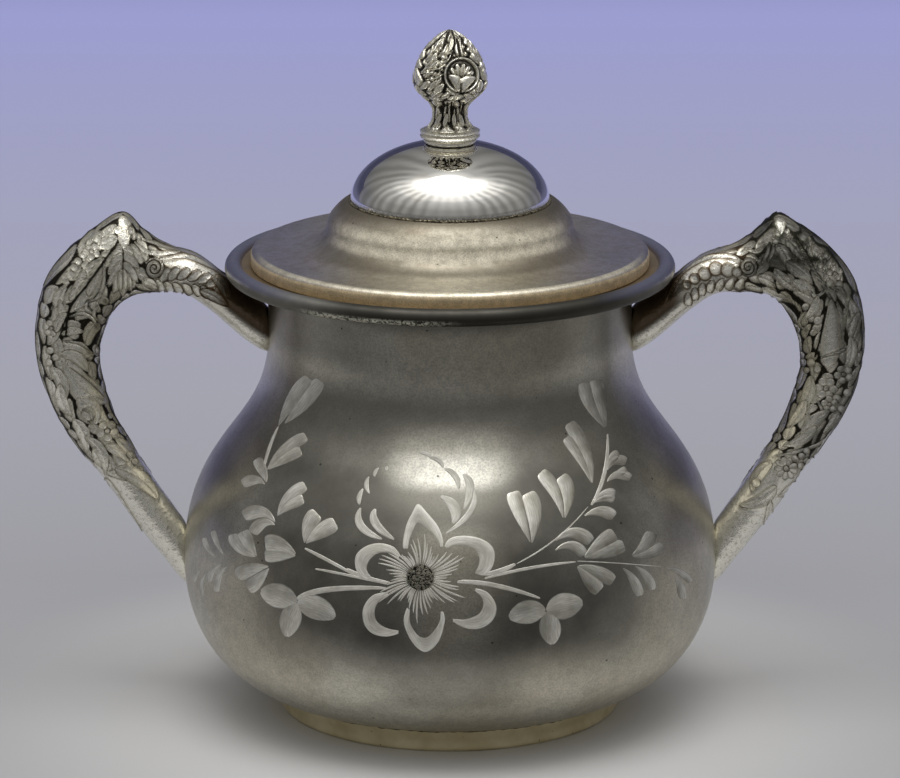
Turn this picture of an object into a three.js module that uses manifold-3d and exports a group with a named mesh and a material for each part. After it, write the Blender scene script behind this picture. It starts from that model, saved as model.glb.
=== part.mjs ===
import * as THREE from 'three';
import { mergeVertices } from 'three/addons/utils/BufferGeometryUtils.js';
import Module from 'manifold-3d';

const wasm = await Module();
wasm.setup();

// A covered sugar bowl of silver-plated white metal, in millimetres. +Z is up, the origin is the middle of
// the foot ring on the table, and the two handles stand out along X.

// Clearances
const SOLDER = 0.05; // film of solder between two soldered faces
const HANDLE_SOLDER = 0.3; // thicker film where a cast handle meets the round body
const SLIP = 0.3; // radial room of a spigot, collar or stud in its hole
const LID_SLIP = 0.5; // radial room of the lid's bezel in the mouth
const LID_REST = 0.1; // height that the lid's edge stands off the ledge

// Foot ring
const FOOT_HEIGHT = 5.6;
const FOOT_R = 39.5; // outer radius on the table
const FOOT_TOP_R = 41.2; // outer radius under the body
const FOOT_WALL = 1.6;
const FOOT_CHAMFER = 0.5;

// Body shell: a flat base, a round belly and a straight neck
const BODY_WALL = 1.3;
const BASE_LIP = 0.4; // how far the base stands out past the foot ring
const BELLY_R = 61.7;
const BELLY_Z = 35;
const NECK_R = 41.8;
const NECK_TOP_Z = 103.6;
const NECK_LENGTH = 14.8; // straight length of the neck
const BASE_ANGLE = THREE.MathUtils.degToRad(15.8); // how steeply the belly leaves the base
const BASE_PULL = 12.6; // pulls set how full each curve is
const BELLY_PULL_DOWN = 15.1;
const BELLY_PULL_UP = 30;
const NECK_PULL = 24;

// Rim mount: a bead, a ledge that the lid sits on and a spigot in the neck
const RIM_OVERHANG = 9.85; // how far the bead stands out past the neck
const RIM_BEAD_R = 2;
const RIM_SHEET = 1.3;
const SPIGOT_DEPTH = 4.6;

// Handles
const HANDLE_WALL = 2;
const HANDLE_REACH = 43.3; // from the bead's edge out to the widest place
const HANDLE_DROP = 80.2; // from the bead's underside down to the lower end
const HANDLE_HALF_BREADTH = 7.4; // at the broadest place
// Rails of the casting's outer and inner edge, as [share of the reach, share of the drop] out and up from
// the underside of the bead's edge, with the share of the half breadth at each point
const HANDLE_STATIONS = [
  { outer: [-0.499, -0.177], inner: [-0.499, -0.304], breadth: 0.622 },
  { outer: [-0.222, -0.091], inner: [-0.148, -0.208], breadth: 0.622 },
  { outer: [0, -0.006], inner: [0.09, -0.1], breadth: 0.649 },
  { outer: [0.136, 0.051], inner: [0.21, -0.057], breadth: 0.73 },
  { outer: [0.344, 0.09], inner: [0.349, -0.045], breadth: 0.838 },
  { outer: [0.443, 0.13], inner: [0.425, -0.047], breadth: 0.919 },
  { outer: [0.536, 0.173], inner: [0.499, -0.057], breadth: 0.973 },
  { outer: [0.663, 0.137], inner: [0.577, -0.087], breadth: 1 },
  { outer: [0.822, 0.067], inner: [0.635, -0.137], breadth: 1 },
  { outer: [0.942, -0.022], inner: [0.665, -0.181], breadth: 0.946 },
  { outer: [1, -0.177], inner: [0.684, -0.252], breadth: 0.892 },
  { outer: [0.968, -0.314], inner: [0.661, -0.327], breadth: 0.865 },
  { outer: [0.857, -0.451], inner: [0.591, -0.435], breadth: 0.811 },
  { outer: [0.667, -0.599], inner: [0.448, -0.564], breadth: 0.743 },
  { outer: [0.49, -0.741], inner: [0.312, -0.673], breadth: 0.676 },
  { outer: [0.344, -0.843], inner: [0.212, -0.746], breadth: 0.649 },
  { outer: [0.206, -0.93], inner: [0.067, -0.819], breadth: 0.649 },
  { outer: [-0.129, -1], inner: [-0.176, -0.863], breadth: 0.649 },
];

// Cast ornament of a handle. A place on it is [station number along it, share across it], with -1 on the
// inner edge and 1 on the outer edge. Leaves run from one place to another, and blossoms sit at one.
const RELIEF_DEPTH = 0.75; // from the crowns down to the lowest ground
const GROUND_SHARE = 0.2; // how high the ground between the main forms stands
const CARVED_FROM = 2; // the arm is plain up to this station
const CARVED_TO = 14; // the socket is plain from this one
const FRONT_ORNAMENT = [
  leaf([1.9, 0.6], [3.1, 0.9], 1.6), // strand along the arm
  leaf([3.1, 0.9], [4.2, 0.5], 1.6),
  blossom([2.2, 0.4], 2.2), // round gadroons
  blossom([2.6, 0.5], 2.6),
  blossom([3, 0.4], 2.8),
  blossom([3.4, 0.3], 2.9),
  leaf([2.2, -0.3], [3.8, -0.5], 1.8),
  blossom([4.4, 0.1], 4), // volute
  blossom([6, 0.8], 3), // knob under the peak
  leaf([6, 0.4], [6.8, 0], 2.8), // leaves of the shoulder
  leaf([6.5, 0.1], [7.8, 0.1], 3),
  leaf([6, -0.3], [7.4, -0.3], 2.5),
  leaf([6.8, 0.8], [7.4, 0.8], 2.2),
  blossom([7.9, 0.7], 3.6),
  blossom([8.5, 0.7], 3.4),
  leaf([8.6, 0.3], [10.3, -0.2], 4.4), // smooth leaf
  blossom([8.6, -0.5], 1.8),
  leaf([9.3, 0.6], [10.1, 0.6], 2.5),
  blossom([10.1, -0.8], 2),
  blossom([10.7, 0.5], 4.2), // blossoms of the bend
  blossom([11, -0.1], 5),
  blossom([11.5, 0.4], 3.6),
  leaf([10.6, -0.7], [11.6, -0.8], 2.8),
  leaf([11.5, 0.2], [12.3, -0.2], 2.8),
  leaf([12.5, 0.8], [13.2, 0.8], 2.8),
  blossom([12.8, 0.1], 5),
  leaf([12.8, -0.7], [13.5, -0.6], 2.8),
  leaf([13.2, 0.2], [13.9, -0.5], 2.8), // last leaf over the socket
];
const BACK_ORNAMENT = [
  leaf([2.1, 0.9], [3.9, 0.5], 1.7), // strands along the arm
  leaf([3.4, 0.9], [5, 0.7], 1.7),
  leaf([1.8, 0.3], [2.3, 0.8], 2.6),
  leaf([2.3, 0.4], [3.8, 0], 2.4), // gadroons
  blossom([4.2, 0.1], 4.2), // volute
  blossom([5.9, 0.9], 3), // knob under the peak
  leaf([6, 0.5], [6.4, -0.8], 6), // acanthus
  leaf([6.3, 0.6], [7.2, 0.7], 3), // leaves and blossom of the shoulder
  blossom([7.3, 0.7], 3.8),
  leaf([6.9, 0.3], [9, 0.1], 3.9),
  leaf([7.7, 0.6], [8.7, 0.4], 2.4),
  blossom([7.4, -0.6], 2),
  leaf([9.1, 0.5], [9.8, 0.5], 3.2),
  leaf([9.6, 0.1], [9.7, -0.9], 3.7),
  leaf([10, 0.1], [10.4, -0.7], 3),
  leaf([10.2, 0], [11.5, -0.9], 5.6), // big smooth leaf
  leaf([10.5, 0.5], [11.4, 0.5], 2.8),
  leaf([11.2, -0.1], [11.9, -0.3], 4.1),
  blossom([12.1, -0.5], 4.8), // five-petalled blossom
  leaf([11.6, 0.5], [12.6, 0.3], 3),
  leaf([12.3, 0.6], [13, 0.2], 2.8),
  blossom([12.8, -0.8], 2),
  leaf([12.8, 0], [13.8, -0.7], 3.4), // last leaf over the socket
  leaf([13, 0.8], [13.9, 0.8], 2.4),
];

// Lid cover: a turned-down edge, a brim, a hollow slope and a rounded shoulder
const LID_WALL = 1.2;
const LID_RECESS = 1.95; // gap between the lid's edge and the bead
const LID_EDGE_HEIGHT = 3.6;
const LID_EDGE_ROUND = 1.6;
const BRIM_WIDTH = 7.2; // nearly flat part of the brim
const BRIM_RISE = 0.2;
const SLOPE_WIDTH = 10.3; // from the brim in to where the shoulder is steepest
const SHOULDER_WIDTH = 5; // from there in to the dome's seat
const SHOULDER_RISE = 11; // from the brim up to the dome's seat
const SHOULDER_DROP = 5.2; // from the dome's seat down to the steepest place
const SHOULDER_PULL = 1.6; // how full the shoulder is
const SLOPE_PULL = 2.8; // how tightly the slope runs out into the brim
const SEAT_LIP = 0.4; // flat ring that shows round the foot of the dome
const COLLAR_HEIGHT = 1.5; // collar that centres the dome

// Lid dome
const DOME_HEIGHT = 13.7;
const DOME_WALL = 1.1;
const DOME_FLAT_MARGIN = 0.5; // flat at the top of the dome, past the finial's foot

// Bezel under the cover
const BEZEL_WALL = 1.2;
const BEZEL_EDGE_ROOM = 1.5; // from its flange to the inside of the lid's turned-down edge
const BEZEL_DEPTH = 9.2; // below the underside of the brim

// Finial and its fastening
const FINIAL_HEIGHT = 26.3;
const FINIAL_FOOT_R = 5.8;
const FINIAL_RING_R = 6.9;
const FINIAL_RING_BOTTOM_UP = 1.6; // the ring is at its widest between these two heights
const FINIAL_RING_TOP_UP = 3;
const FINIAL_WAIST_R = 4.15;
const FINIAL_WAIST_UP = 7.3;
const FINIAL_WAIST_PULL = 1.5;
const FINIAL_BUD_R = 8.7;
const FINIAL_BUD_UP = 14.4;
const FINIAL_BUD_PULL = 3.2;
const FINIAL_TIP_PULL = 3.2;
const STUD_R = 1.5;
const STUD_IN = 8; // length of the stud inside the finial
const STUD_TAIL = 1.6; // length of the stud past the nut
const WASHER_R = 5;
const WASHER_THICKNESS = 1;
const NUT_FLATS = 6.5;
const NUT_THICKNESS = 2.8;

// Facets
const TURNED_FACETS = 48; // round the turned pieces
const FINIAL_FACETS = 28;
const SMALL_FACETS = 20; // round the stud and its holes
const CURVE_STEPS = 8; // along each long curve of an outline
const SHORT_CURVE_STEPS = 4;
const BEAD_STEPS = 10;
const HANDLE_STEPS = 2; // from one station of a handle to the next, where it is plain
const CARVED_STEPS = 5; // and where it is carved
const HANDLE_FACETS = 14; // round the hollow of a handle
const CARVED_FACETS = 28; // round its outside

// Places that follow from the sizes above
const RIM_R = NECK_R + RIM_OVERHANG;
const LEDGE_Z = NECK_TOP_Z + SOLDER + RIM_SHEET;
const BEAD_Z = LEDGE_Z - RIM_SHEET / 2;
const LID_Z = LEDGE_Z + LID_REST;
const BRIM_R = RIM_R - 2 * RIM_BEAD_R - LID_RECESS;
const SHOULDER_R = BRIM_R - BRIM_WIDTH - SLOPE_WIDTH;
const SEAT_R = SHOULDER_R - SHOULDER_WIDTH;
const DOME_R = SEAT_R - SEAT_LIP;
const BODY_BASE_Z = FOOT_HEIGHT + SOLDER;

// Heights in the lid's own frame, above the bottom of its edge
const SEAT_UP = LID_EDGE_HEIGHT + SHOULDER_RISE;
const DOME_BASE_UP = SEAT_UP + SOLDER;
const DOME_FLAT_R = FINIAL_FOOT_R + DOME_FLAT_MARGIN;
const DOME_FLAT_UP = DOME_BASE_UP + DOME_HEIGHT * Math.sqrt(1 - (DOME_FLAT_R / DOME_R) ** 2);
const FINIAL_UP = DOME_FLAT_UP + SOLDER;

const finishes = {
  satin: { color: 0x8f8c80, roughness: 0.45, metalness: 0.9 },
  lid: { color: 0x8c8577, roughness: 0.4, metalness: 0.9 },
  bright: { color: 0xd8d6cf, roughness: 0.08, metalness: 1 },
  cast: { color: 0xa09a86, roughness: 0.3, metalness: 0.95 },
  brassy: { color: 0x8c7a50, roughness: 0.45, metalness: 0.9 },
};

const point = (r, z) => new THREE.Vector2(r, z);

function piece(name, geometry, finish) {
  const mesh = new THREE.Mesh(geometry, new THREE.MeshStandardMaterial(finish));
  mesh.name = name;
  return mesh;
}

// A solid of revolution about +Z. The outline climbs on its outer side, and starts and ends on the axis.
function turned(outline, facets = TURNED_FACETS) {
  return new THREE.LatheGeometry(outline, facets).rotateX(Math.PI / 2);
}

// A turned piece with a hole through it: the outline is closed on itself.
function turnedRing(outline, facets = TURNED_FACETS) {
  return turned([...outline, outline[0]], facets);
}

function curve(start, startPull, endPull, end, steps = CURVE_STEPS) {
  return new THREE.CubicBezierCurve(start, startPull, endPull, end).getPoints(steps);
}

function arc(centre, radius, from, to, steps) {
  return new THREE.EllipseCurve(centre.x, centre.y, radius, radius, from, to).getPoints(steps);
}

// Moves an open outline to the left of its direction of travel, with mitred corners.
function offsetOutline(outline, distance) {
  const sides = outline.slice(1).map((end, i) => {
    const along = end.clone().sub(outline[i]).normalize();
    return point(-along.y, along.x);
  });
  return outline.map((corner, i) => {
    const before = sides[Math.max(i - 1, 0)];
    const after = sides[Math.min(i, sides.length - 1)];
    const mitre = before.clone().add(after).normalize();
    return corner.clone().addScaledVector(mitre, distance / mitre.dot(after));
  });
}

// The body's outer outline, from the middle of its base to the top of its neck.
function bodyOutline() {
  const base = point(FOOT_TOP_R + BASE_LIP, BODY_BASE_Z);
  const leaving = point(Math.cos(BASE_ANGLE), Math.sin(BASE_ANGLE));
  const basePull = base.clone().addScaledVector(leaving, BASE_PULL);
  const belly = point(BELLY_R, BELLY_Z);
  const bellyPull = point(BELLY_R, BELLY_Z + BELLY_PULL_UP);
  const neck = point(NECK_R, NECK_TOP_Z - NECK_LENGTH);
  const lower = curve(base, basePull, point(BELLY_R, BELLY_Z - BELLY_PULL_DOWN), belly);
  const upper = curve(belly, bellyPull, point(NECK_R, neck.y - NECK_PULL), neck);
  return [point(0, BODY_BASE_Z), ...lower, ...upper.slice(1), point(NECK_R, NECK_TOP_Z)];
}

function bodyShell() {
  const outside = bodyOutline();
  const inside = offsetOutline(outside, BODY_WALL);
  return turned([...outside, ...inside.reverse()]);
}

function footRing() {
  const outside = [
    point(FOOT_R - FOOT_CHAMFER, 0),
    ...curve(
      point(FOOT_R, FOOT_CHAMFER),
      point(FOOT_R, FOOT_HEIGHT / 2),
      point(FOOT_R, FOOT_HEIGHT / 2),
      point(FOOT_TOP_R, FOOT_HEIGHT),
      SHORT_CURVE_STEPS,
    ),
  ];
  return turnedRing([
    ...outside,
    point(FOOT_TOP_R - FOOT_WALL, FOOT_HEIGHT),
    point(FOOT_R - FOOT_WALL, FOOT_HEIGHT / 2),
    point(FOOT_R - FOOT_WALL, 0),
  ]);
}

const SPIGOT_R = NECK_R - BODY_WALL - SLIP;
const MOUTH_R = SPIGOT_R - RIM_SHEET;

function rimMount() {
  const underside = NECK_TOP_Z + SOLDER;
  const bead = point(RIM_R - RIM_BEAD_R, BEAD_Z);
  const tuck = Math.asin(RIM_SHEET / 2 / RIM_BEAD_R);
  return turnedRing([
    point(MOUTH_R, NECK_TOP_Z - SPIGOT_DEPTH),
    point(SPIGOT_R, NECK_TOP_Z - SPIGOT_DEPTH),
    point(SPIGOT_R, underside),
    ...arc(bead, RIM_BEAD_R, tuck - Math.PI, Math.PI - tuck, BEAD_STEPS),
    point(MOUTH_R, LEDGE_Z),
  ]);
}

// A closed mesh as a solid that can be cut.
function solid(geometry) {
  const bare = geometry.clone();
  bare.deleteAttribute('normal');
  bare.deleteAttribute('uv');
  const merged = mergeVertices(bare);
  const corners = merged.index.array;
  const triangles = [];
  for (let i = 0; i < corners.length; i += 3) {
    const [a, b, c] = corners.slice(i, i + 3);
    if (a !== b && b !== c && c !== a) triangles.push(a, b, c);
  }
  const vertProperties = new Float32Array(merged.attributes.position.array);
  const triVerts = new Uint32Array(triangles);
  return new wasm.Manifold(new wasm.Mesh({ numProp: 3, vertProperties, triVerts }));
}

function geometryOf(manifold) {
  const mesh = manifold.getMesh();
  const geometry = new THREE.BufferGeometry();
  geometry.setAttribute('position', new THREE.BufferAttribute(mesh.vertProperties, mesh.numProp));
  geometry.setIndex(new THREE.BufferAttribute(mesh.triVerts, 1));
  geometry.computeVertexNormals();
  return geometry;
}

function leaf(from, to, width) {
  return { from, to, width };
}

function blossom(middle, width) {
  return { from: middle, to: middle, width };
}

const LAST_STATION = HANDLE_STATIONS.length - 1;

function handleRail(key) {
  const underBead = BEAD_Z - RIM_BEAD_R;
  return new THREE.CatmullRomCurve3(HANDLE_STATIONS.map((station) => new THREE.Vector3(
    RIM_R + HANDLE_REACH * station[key][0],
    HANDLE_HALF_BREADTH * station.breadth,
    underBead + HANDLE_DROP * station[key][1],
  )));
}

const OUTER_RAIL = handleRail('outer');
const INNER_RAIL = handleRail('inner');

// The oval section at a station: its middle and its half widths, across the loop and along Y.
function sectionAt(station) {
  const from = OUTER_RAIL.getPoint(station / LAST_STATION);
  const to = INNER_RAIL.getPoint(station / LAST_STATION);
  const breadth = from.y;
  from.y = 0;
  to.y = 0;
  const middle = from.clone().add(to).divideScalar(2);
  return { middle, across: from.sub(middle), breadth };
}

function placeAt([station, share]) {
  const { middle, across } = sectionAt(station);
  return middle.clone().addScaledVector(across, share);
}

// Ornament of one face as low mounds with oval edges, seen square to the face.
function moundsOf(ornament) {
  return ornament.map(({ from, to, width }) => {
    const start = placeAt(from);
    const run = placeAt(to).sub(start);
    const halfLength = Math.max(run.length(), width) / 2;
    const middle = start.addScaledVector(run, 0.5);
    return { middle, along: run.normalize(), halfLength, halfWidth: width / 2 };
  });
}

// Height of the mounds at a place, from 0 on the ground to 1 on a crown.
function moundHeight(place, mounds) {
  const heights = mounds.map(({ middle, along, halfLength, halfWidth }) => {
    const offset = place.clone().sub(middle);
    const lengthwise = offset.dot(along);
    const sideways = Math.sqrt(Math.max(offset.lengthSq() - lengthwise ** 2, 0));
    return 1 - (lengthwise / halfLength) ** 2 - (sideways / halfWidth) ** 2;
  });
  return Math.sqrt(Math.max(0, ...heights));
}

const FRONT_MOUNDS = moundsOf(FRONT_ORNAMENT);
const BACK_MOUNDS = moundsOf(BACK_ORNAMENT);

// How far the carved skin lies below the crowns. The mounds run out towards the two edges of the loop.
function carvedInset(station, turn, place) {
  const carved = THREE.MathUtils.smoothstep(station, CARVED_FROM - 0.5, CARVED_FROM + 0.5)
    * THREE.MathUtils.smoothstep(CARVED_TO - station, -0.5, 0.5);
  const mounds = Math.sin(turn) < 0 ? FRONT_MOUNDS : BACK_MOUNDS;
  const height = moundHeight(place, mounds) * THREE.MathUtils.smoothstep(Math.abs(Math.sin(turn)), 0, 0.3);
  return RELIEF_DEPTH * carved * (1 - GROUND_SHARE) * (1 - height);
}

// One skin of a handle as a closed tube: oval rings along the two rails, each point drawn in by its inset.
function handleSkin(carvedSteps, facets, insetAt) {
  const stations = [0];
  for (let station = 0; station < LAST_STATION; station += 1) {
    const steps = station >= CARVED_FROM && station < CARVED_TO ? carvedSteps : HANDLE_STEPS;
    for (let step = 1; step <= steps; step += 1) stations.push(station + step / steps);
  }
  const points = stations.flatMap((station) => {
    const { middle, across, breadth } = sectionAt(station);
    const reach = across.length();
    return Array.from({ length: facets }, (_, j) => {
      const turn = (2 * Math.PI * j) / facets;
      const inset = insetAt(station, turn, middle.clone().addScaledVector(across, Math.cos(turn)));
      const place = middle.clone().addScaledVector(across, (Math.cos(turn) * (reach - inset)) / reach);
      place.y = (breadth - inset) * Math.sin(turn);
      return place;
    });
  });
  const index = [];
  const last = (stations.length - 1) * facets;
  for (let j = 0; j < facets; j += 1) {
    const next = (j + 1) % facets;
    for (let ring = 0; ring < last; ring += facets) {
      const beyond = ring + facets;
      index.push(ring + j, beyond + j, beyond + next, ring + j, beyond + next, ring + next);
    }
    index.push(0, j, next, last, last + next, last + j);
  }
  const geometry = new THREE.BufferGeometry().setFromPoints(points);
  geometry.setIndex(index);
  return geometry;
}

// The hollow casting cut to the body's roundness, a film of solder clear of it.
function handle() {
  const outside = solid(handleSkin(CARVED_STEPS, CARVED_FACETS, carvedInset));
  const hollow = solid(handleSkin(HANDLE_STEPS, HANDLE_FACETS, () => HANDLE_WALL));
  const clearance = offsetOutline(bodyOutline(), -HANDLE_SOLDER);
  const top = clearance[clearance.length - 1];
  const body = solid(turned([...clearance, point(0, top.y)]));
  return geometryOf(outside.subtract(hollow).subtract(body));
}

const COLLAR_R = DOME_R - DOME_WALL - SLIP;

function lidCover() {
  const brimInner = point(BRIM_R - BRIM_WIDTH, LID_EDGE_HEIGHT + BRIM_RISE);
  const steepest = point(SHOULDER_R, SEAT_UP - SHOULDER_DROP);
  const seatEdge = point(SEAT_R, SEAT_UP);
  const slope = curve(
    brimInner,
    point(SHOULDER_R + SLOPE_PULL, brimInner.y),
    point(SHOULDER_R, steepest.y - SLOPE_PULL),
    steepest,
  );
  const shoulder = curve(
    steepest,
    point(SHOULDER_R, steepest.y + SHOULDER_PULL),
    point(seatEdge.x + SHOULDER_PULL, SEAT_UP),
    seatEdge,
    SHORT_CURVE_STEPS,
  );
  const edgeCentre = point(BRIM_R - LID_EDGE_ROUND, LID_EDGE_HEIGHT - LID_EDGE_ROUND);
  const edge = arc(edgeCentre, LID_EDGE_ROUND, 0, Math.PI / 2, SHORT_CURVE_STEPS - 1);
  const outside = [
    point(BRIM_R, 0),
    ...edge,
    ...slope,
    ...shoulder.slice(1),
    point(COLLAR_R, SEAT_UP),
    point(COLLAR_R, SEAT_UP + COLLAR_HEIGHT),
  ];
  return turnedRing([...outside, ...offsetOutline(outside, LID_WALL).reverse()]);
}

function lidDome() {
  const climb = Math.acos(DOME_FLAT_R / DOME_R);
  const skin = (inset) => new THREE.EllipseCurve(
    0,
    DOME_BASE_UP,
    DOME_R - inset,
    DOME_HEIGHT - inset,
    0,
    climb,
  ).getPoints(CURVE_STEPS);
  const hole = STUD_R + SLIP;
  const inside = skin(DOME_WALL).map((p) => point(p.x, Math.min(p.y, DOME_FLAT_UP - DOME_WALL)));
  return turnedRing([
    ...skin(0),
    point(hole, DOME_FLAT_UP),
    point(hole, DOME_FLAT_UP - DOME_WALL),
    ...inside.reverse(),
  ]);
}

function lidBezel() {
  const outerR = MOUTH_R - LID_SLIP;
  const flangeR = BRIM_R - LID_WALL - BEZEL_EDGE_ROOM;
  const top = LID_EDGE_HEIGHT - LID_WALL - SLIP;
  return turnedRing([
    point(outerR - BEZEL_WALL, top - BEZEL_DEPTH),
    point(outerR, top - BEZEL_DEPTH),
    point(outerR, top - BEZEL_WALL),
    point(flangeR, top - BEZEL_WALL),
    point(flangeR, top),
    point(outerR - BEZEL_WALL, top),
  ]);
}

// The finial, measured up from its foot.
function finialBud() {
  const waist = point(FINIAL_WAIST_R, FINIAL_WAIST_UP);
  const bud = point(FINIAL_BUD_R, FINIAL_BUD_UP);
  const tip = point(0, FINIAL_HEIGHT);
  const ringTop = point(FINIAL_RING_R, FINIAL_RING_TOP_UP);
  const bore = STUD_R + SLIP;
  const stem = curve(
    ringTop,
    point(FINIAL_WAIST_R, ringTop.y + FINIAL_WAIST_PULL),
    point(FINIAL_WAIST_R, waist.y - FINIAL_WAIST_PULL),
    waist,
    SHORT_CURVE_STEPS,
  );
  const swell = curve(
    waist,
    point(FINIAL_WAIST_R, waist.y + FINIAL_BUD_PULL),
    point(FINIAL_BUD_R, bud.y - FINIAL_BUD_PULL),
    bud,
  );
  const crown = curve(bud, point(FINIAL_BUD_R, (bud.y + tip.y) / 2), point(FINIAL_TIP_PULL, tip.y), tip);
  return turned([
    point(0, STUD_IN + SLIP),
    point(bore, STUD_IN + SLIP),
    point(bore, 0),
    point(FINIAL_FOOT_R, 0),
    point(FINIAL_RING_R, FINIAL_RING_BOTTOM_UP),
    ...stem,
    ...swell.slice(1),
    ...crown.slice(1),
  ], FINIAL_FACETS);
}

// The stud, washer and nut hang below the underside of the dome's flat top, in the finial's frame.
const WASHER_TOP = -2 * SOLDER - DOME_WALL;
const NUT_TOP = WASHER_TOP - WASHER_THICKNESS - SOLDER;

function finialStud() {
  const bottom = NUT_TOP - NUT_THICKNESS - STUD_TAIL;
  return turned([
    point(0, bottom),
    point(STUD_R, bottom),
    point(STUD_R, STUD_IN),
    point(0, STUD_IN),
  ], SMALL_FACETS);
}

function finialWasher() {
  const hole = STUD_R + SLIP;
  const bottom = WASHER_TOP - WASHER_THICKNESS;
  return turnedRing([
    point(hole, bottom),
    point(WASHER_R, bottom),
    point(WASHER_R, WASHER_TOP),
    point(hole, WASHER_TOP),
  ], SMALL_FACETS);
}

function finialNut() {
  const corner = NUT_FLATS / Math.sqrt(3);
  const sixth = Math.PI / 3;
  const cornerAt = (i) => point(corner * Math.cos(i * sixth), corner * Math.sin(i * sixth));
  const hexagon = new THREE.Shape([0, 1, 2, 3, 4, 5].map(cornerAt));
  hexagon.holes.push(new THREE.Path().absarc(0, 0, STUD_R + SLIP, 0, 2 * Math.PI, true));
  const settings = { depth: NUT_THICKNESS, bevelEnabled: false, curveSegments: SMALL_FACETS };
  return new THREE.ExtrudeGeometry(hexagon, settings).translate(0, 0, NUT_TOP - NUT_THICKNESS);
}

function finial() {
  const group = new THREE.Group();
  group.add(piece('finial_bud', finialBud(), finishes.cast));
  group.add(piece('finial_stud', finialStud(), finishes.brassy));
  group.add(piece('finial_washer', finialWasher(), finishes.brassy));
  group.add(piece('finial_nut', finialNut(), finishes.brassy));
  group.position.z = FINIAL_UP;
  return group;
}

function lid() {
  const group = new THREE.Group();
  group.add(piece('lid_cover', lidCover(), finishes.lid));
  group.add(piece('lid_dome', lidDome(), finishes.bright));
  group.add(piece('lid_bezel', lidBezel(), finishes.lid));
  group.add(finial());
  group.position.z = LID_Z;
  return group;
}

function bowl() {
  const group = new THREE.Group();
  group.add(piece('foot_ring', footRing(), finishes.brassy));
  group.add(piece('body_shell', bodyShell(), finishes.satin));
  group.add(piece('rim_mount', rimMount(), finishes.satin));
  const casting = handle();
  group.add(piece('handle_right', casting, finishes.cast));
  const left = piece('handle_left', casting, finishes.cast);
  left.rotation.z = Math.PI;
  group.add(left);
  return group;
}

const sugarBowl = new THREE.Group();
sugarBowl.add(bowl(), lid());

export default sugarBowl;
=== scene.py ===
"""A covered sugar bowl of silver plate: the looks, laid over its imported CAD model.

Shapes are worked out in millimetres and become metres when a mesh is made. The frame is the model's: +Z is
up, the handles stand out along X, and the camera looks along +Y.
"""
from functools import cached_property
import math

import bpy
import numpy as np
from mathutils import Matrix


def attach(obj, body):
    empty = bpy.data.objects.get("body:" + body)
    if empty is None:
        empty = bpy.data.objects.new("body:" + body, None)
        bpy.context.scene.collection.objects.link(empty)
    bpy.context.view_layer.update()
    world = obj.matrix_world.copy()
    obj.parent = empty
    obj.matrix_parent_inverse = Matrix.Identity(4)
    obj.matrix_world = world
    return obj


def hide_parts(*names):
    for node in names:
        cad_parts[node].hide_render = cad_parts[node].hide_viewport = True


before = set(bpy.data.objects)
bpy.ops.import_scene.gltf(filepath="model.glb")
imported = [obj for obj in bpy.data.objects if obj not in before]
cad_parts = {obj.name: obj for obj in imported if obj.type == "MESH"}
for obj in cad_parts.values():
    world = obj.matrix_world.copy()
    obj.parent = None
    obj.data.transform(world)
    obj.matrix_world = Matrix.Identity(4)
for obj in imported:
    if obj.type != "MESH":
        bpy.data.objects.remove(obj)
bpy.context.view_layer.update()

METRES = 0.001

# The camera that the photograph was taken with, in its own pixels
PHOTO_WIDTH, PHOTO_HEIGHT = 900, 778
FOCAL_PIXELS = 5288.8
CAMERA_TILT = math.radians(14.86)
SENSOR_WIDTH = 36.0
CAMERA_PLACE = np.array([0.0, -1180.0, 388.0])
RIGHT = np.array([1.0, 0.0, 0.0])
UP = np.array([0.0, math.sin(CAMERA_TILT), math.cos(CAMERA_TILT)])
FORWARD = np.array([0.0, math.cos(CAMERA_TILT), -math.sin(CAMERA_TILT)])

# Foot ring and body, as in the CAD
FOOT_HEIGHT, FOOT_R, FOOT_TOP_R, FOOT_WALL = 5.6, 39.5, 41.2, 1.6
FOOT_STRAIGHT_Z, FOOT_EDGE = 2.8, 0.5
BODY_WALL = 1.3
BODY_BASE_Z, BODY_BASE_R, BASE_EDGE_R = 5.65, 41.6, 40.4
BELLY_R, BELLY_Z = 61.7, 35.0
NECK_R, NECK_TOP_Z, NECK_FOOT_Z = 41.8, 103.6, 88.8
BASE_PULL, BASE_ANGLE = 12.6, math.radians(15.8)
LOWER_PULL_Z, UPPER_PULL_Z, NECK_PULL_Z = 19.9, 65.0, 64.8

# Rim mount
RIM_R, BEAD_R = 51.65, 2.0
BEAD_Z, LEDGE_Z = 104.3, 104.95
SPIGOT_R, MOUTH_R, SPIGOT_FOOT_Z = 40.2, 38.9, 99.0

# Lid
LID_Z = 105.05
BRIM_R, BRIM_Z, BRIM_ROUND, BRIM_WIDTH, LID_WALL = 45.7, 108.65, 1.6, 7.2, 1.2
SHOULDER_R, SHOULDER_Z, OGEE_PULL, SHOULDER_PULL = 28.2, 114.45, 2.8, 1.6
SEAT_R, SEAT_Z, COLLAR_R, COLLAR_TOP_Z = 23.2, 119.65, 21.4, 121.15
DOME_R, DOME_Z, DOME_HEIGHT, DOME_WALL = 22.8, 119.7, 13.7, 1.1
DOME_FLAT_R, STUD_HOLE_R = 6.3, 1.8
FINIAL_Z, FINIAL_HEIGHT = 132.92, 26.3

# How finely pieces are turned, and how their corners are eased
TURNED_COLUMNS, BODY_COLUMNS, SEAM_COLUMNS, SEAM_WAVES = 256, 288, 720, 16
EDGE_EASE, BODY_EASE, SHARP_TURN = 0.3, 0.35, math.radians(25)


# Pixels of the photograph

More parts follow.
